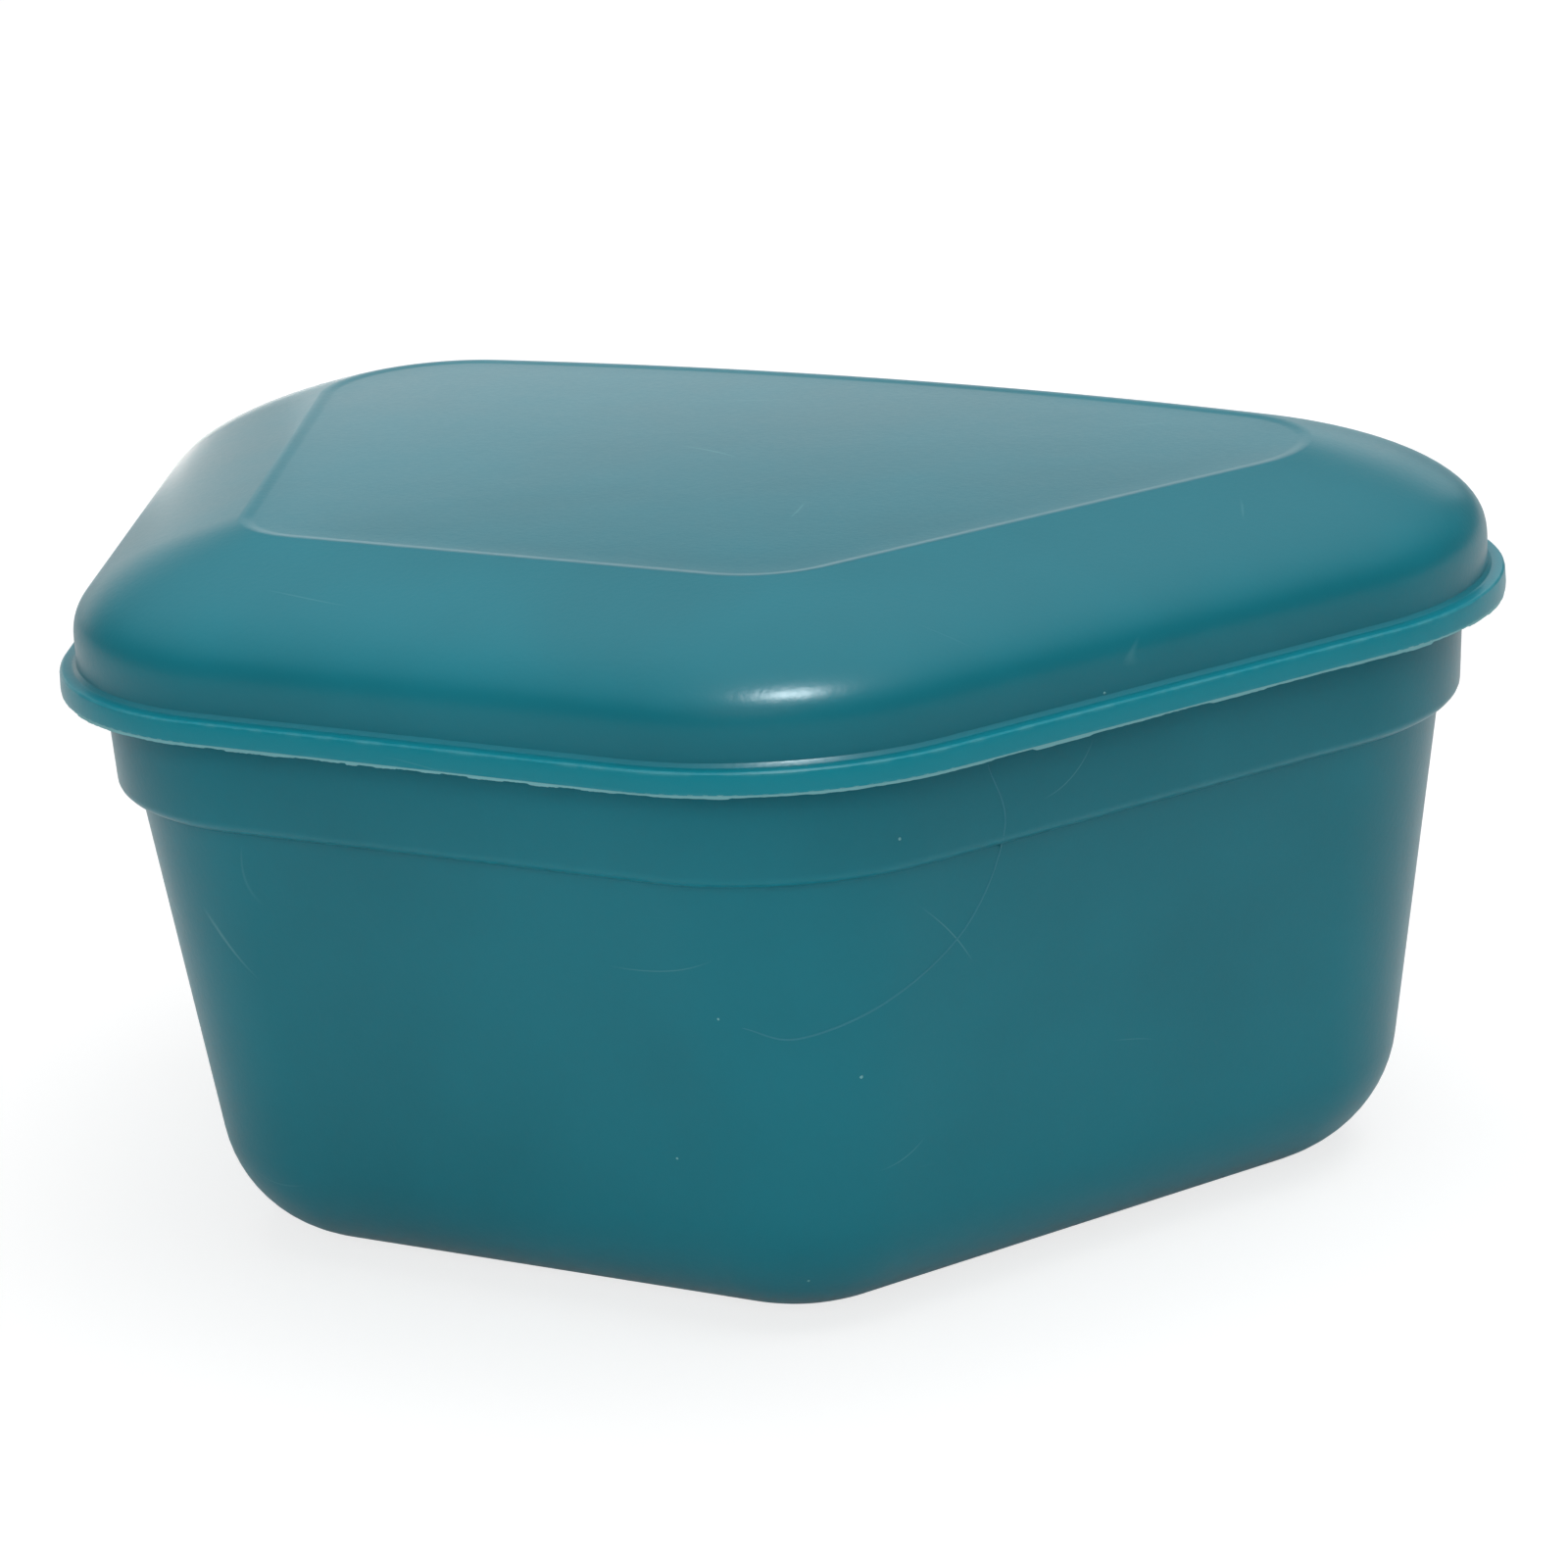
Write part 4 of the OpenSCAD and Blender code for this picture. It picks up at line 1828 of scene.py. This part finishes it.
@dataclass(frozen=True)
class Studio:
    """A white sweep, plain soft light and a white world behind the case.

    Attributes:
        floor_reach: Radius of the floor, in metres.
        floor_drop: How far it lies under the case, so that their faces don't meet.
        floor_colour: Colour of its paper.
        fibre_scale: Fibres of the paper per metre.
        fibre_shade: Brightness of the fibres against the paper.
        white_share: How much of it shows plain white to the camera.
        gloss_share: The same in reflections.
        white_level: Brightness of that white.
        ambient: Level of the plain light from all sides.
        gloss_low: Level of the world at the horizon in reflections.
        gloss_top: What it gains overhead.
        gloss_left: What it gains low on the left behind the case.
        top_span: Heights between which the gain overhead sets in.
        left_aim: Direction of the gain on the left, in plan.
        left_span: How near that direction it sets in.
        lights: The lamps and the cards.
    """

    floor_reach: float = 3.0
    floor_drop: float = 0.00002
    floor_colour: Colour = (0.9, 0.9, 0.9)
    fibre_scale: float = 900.0
    fibre_shade: float = 0.98
    white_share: float = 0.62
    gloss_share: float = 0.1
    white_level: float = 1.25
    ambient: float = 0.2
    gloss_low: float = 0.2
    gloss_top: float = 1.35
    gloss_left: float = 0.88
    top_span: Pair = (0.3, 0.9)
    left_aim: Pair = (0.8, 0.6)
    left_span: Pair = (0.9, 1.0)
    lights: tuple[SoftBox, ...] = (
        SoftBox("overhead", (0.15, 0.1, 1.3), (1.3, 1.3), 13.0, shows_in_gloss=False),
        SoftBox("front_fill", (0.5, -1.3, 0.75), (0.9, 0.6), 5.3, shows_in_gloss=False),
        SoftBox("catch_light", (0.21, -0.25, 0.53), (0.14, 0.1), 4.2, True, False, COOL_WHITE),
        SoftBox("back_card", (-0.02, 0.073, 0.058), (0.12, 0.02), 0.0055, True, False),
        SoftBox("edge_card", (-0.02, 0.043, 0.05), (0.1, 0.008), 0.0005, True, False, WARM_WHITE),
        SoftBox("side_card", (-0.075, 0.06, 0.034), (0.03, 0.012), 0.0032, True, False, WARM_WHITE),
    )

    def _world(self) -> None:
        """Make a world: white to the camera, plain to surfaces, brighter overhead in gloss."""
        world = bpy.data.worlds.new("studio")
        bpy.context.scene.world = world
        world.use_nodes = True
        graph = ShaderGraph(world.node_tree)
        is_camera, is_glossy, is_clear = graph.ray_kinds()
        where = graph.add("ShaderNodeTexCoord", None, None, "Generated")
        side, deep, high = (
            graph.add("ShaderNodeSeparateXYZ", None, {"Vector": where}, axis) for axis in "XYZ"
        )
        overhead = high.span(*self.top_span)
        leftward, backward = self.left_aim
        left = (deep * backward - side * leftward).span(*self.left_span)
        gloss = overhead * self.gloss_top + self.gloss_low + left * self.gloss_left
        plain = 1 - is_glossy
        level = is_glossy * gloss + plain * self.ambient
        seen = is_camera.most(is_clear)
        strength = seen + (1 - seen) * level
        colour = graph.blend(is_glossy, WHITE, graph.blend(left, COOL_WHITE, WARM_WHITE))
        sky = graph.add("ShaderNodeBackground", None, {"Color": colour, "Strength": strength})
        graph.add("ShaderNodeOutputWorld", None, {"Surface": sky})

    def _floor(self) -> None:
        """Lay a pale floor that shows white but for the case's shadow."""
        bm = bmesh.new()
        bmesh.ops.create_circle(bm, cap_ends=True, radius=self.floor_reach, segments=96)
        mesh = finished("floor", bm)
        floor = new_object("floor", mesh)
        floor.location.z = -self.floor_drop
        material = bpy.data.materials.new("floor_paper")
        material.use_nodes = True
        graph = ShaderGraph(material.node_tree)
        where = graph.add("ShaderNodeTexCoord", None, None, "Object")
        fibre = graph.noise(where, self.fibre_scale, 3.0)
        shaded = tuple(channel * self.fibre_shade for channel in self.floor_colour)
        tone = graph.blend(fibre, shaded, self.floor_colour)
        paper = graph.add("ShaderNodeBsdfDiffuse", None, {"Color": tone})
        glow = {"Color": WHITE, "Strength": self.white_level}
        white = graph.add("ShaderNodeEmission", None, glow)
        is_camera, is_glossy, is_clear = graph.ray_kinds()
        share = is_camera.most(is_clear) * self.white_share + is_glossy * self.gloss_share
        mixed = graph.add("ShaderNodeMixShader", None, {0: share, 1: paper, 2: white})
        graph.add("ShaderNodeOutputMaterial", None, {"Surface": mixed})
        mesh.materials.append(material)

    def build(self) -> None:
        """Create the world, the floor and the lights."""
        self._world()
        self._floor()
        for light in self.lights:
            light.build()


# ---- Putting it together ----

TEAL = linear(16, 121, 136)
# Painted glow: a brighter teal that stands in for light coming through thin plastic.
THIN_GLOW_TEAL = linear(8, 137, 153)
PALE_TEAL = linear(120, 182, 188)
DUST = linear(190, 205, 205)
LINT = linear(52, 134, 150)
MILK = linear(226, 231, 229)
# Whiter milk for rubbed edges and scratches, and also a painted glow on the basket's thin rim.
MILK_EDGE = linear(240, 243, 242)


def main() -> None:
    """Build the room and every piece."""
    logging.basicConfig(level=logging.INFO, format="%(name)s: %(message)s")
    bpy.context.scene.view_settings.view_transform = "Standard"
    camera = PhotoCamera()
    camera.build()
    Studio().build()

    low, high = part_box("lid")
    outline = Outline(width=(high.x - low.x) / MM, depth=(high.y - low.y) / MM)
    LOG.info("outline %.2f by %.2f mm", outline.width, outline.depth)

    teal = (TEAL, THIN_GLOW_TEAL, PALE_TEAL, DUST)
    milk = (MILK, MILK_EDGE, MILK_EDGE, DUST)

    bowl = Bowl(outline, Body.BOWL, Slot.BOWL)
    shell = bowl.build(PlasticFinish("bowl_polypropylene", *teal))
    lid = Lid(outline, Body.LID, Slot.LID)
    dome = lid.build(
        PlasticFinish("lid_polypropylene", *teal),
        PlasticFinish("flash_polypropylene", PALE_TEAL, THIN_GLOW_TEAL, DUST, DUST, roughness=0.5),
    )
    Lint(camera).build(bowl, shell, lid, dome)
    basket = StrainerBasket(outline, Body.BASKET, Slot.BASKET, bowl=bowl)
    basket.build(PlasticFinish("basket_polypropylene", *milk, cloud_depth=0.04))
    handle = BasketHandle(outline, Body.HANDLE, Slot.BASKET, basket=basket)
    handle.build(PlasticFinish("handle_polypropylene", *milk, cloud_depth=0.04))


if __name__ == "__main__":
    main()
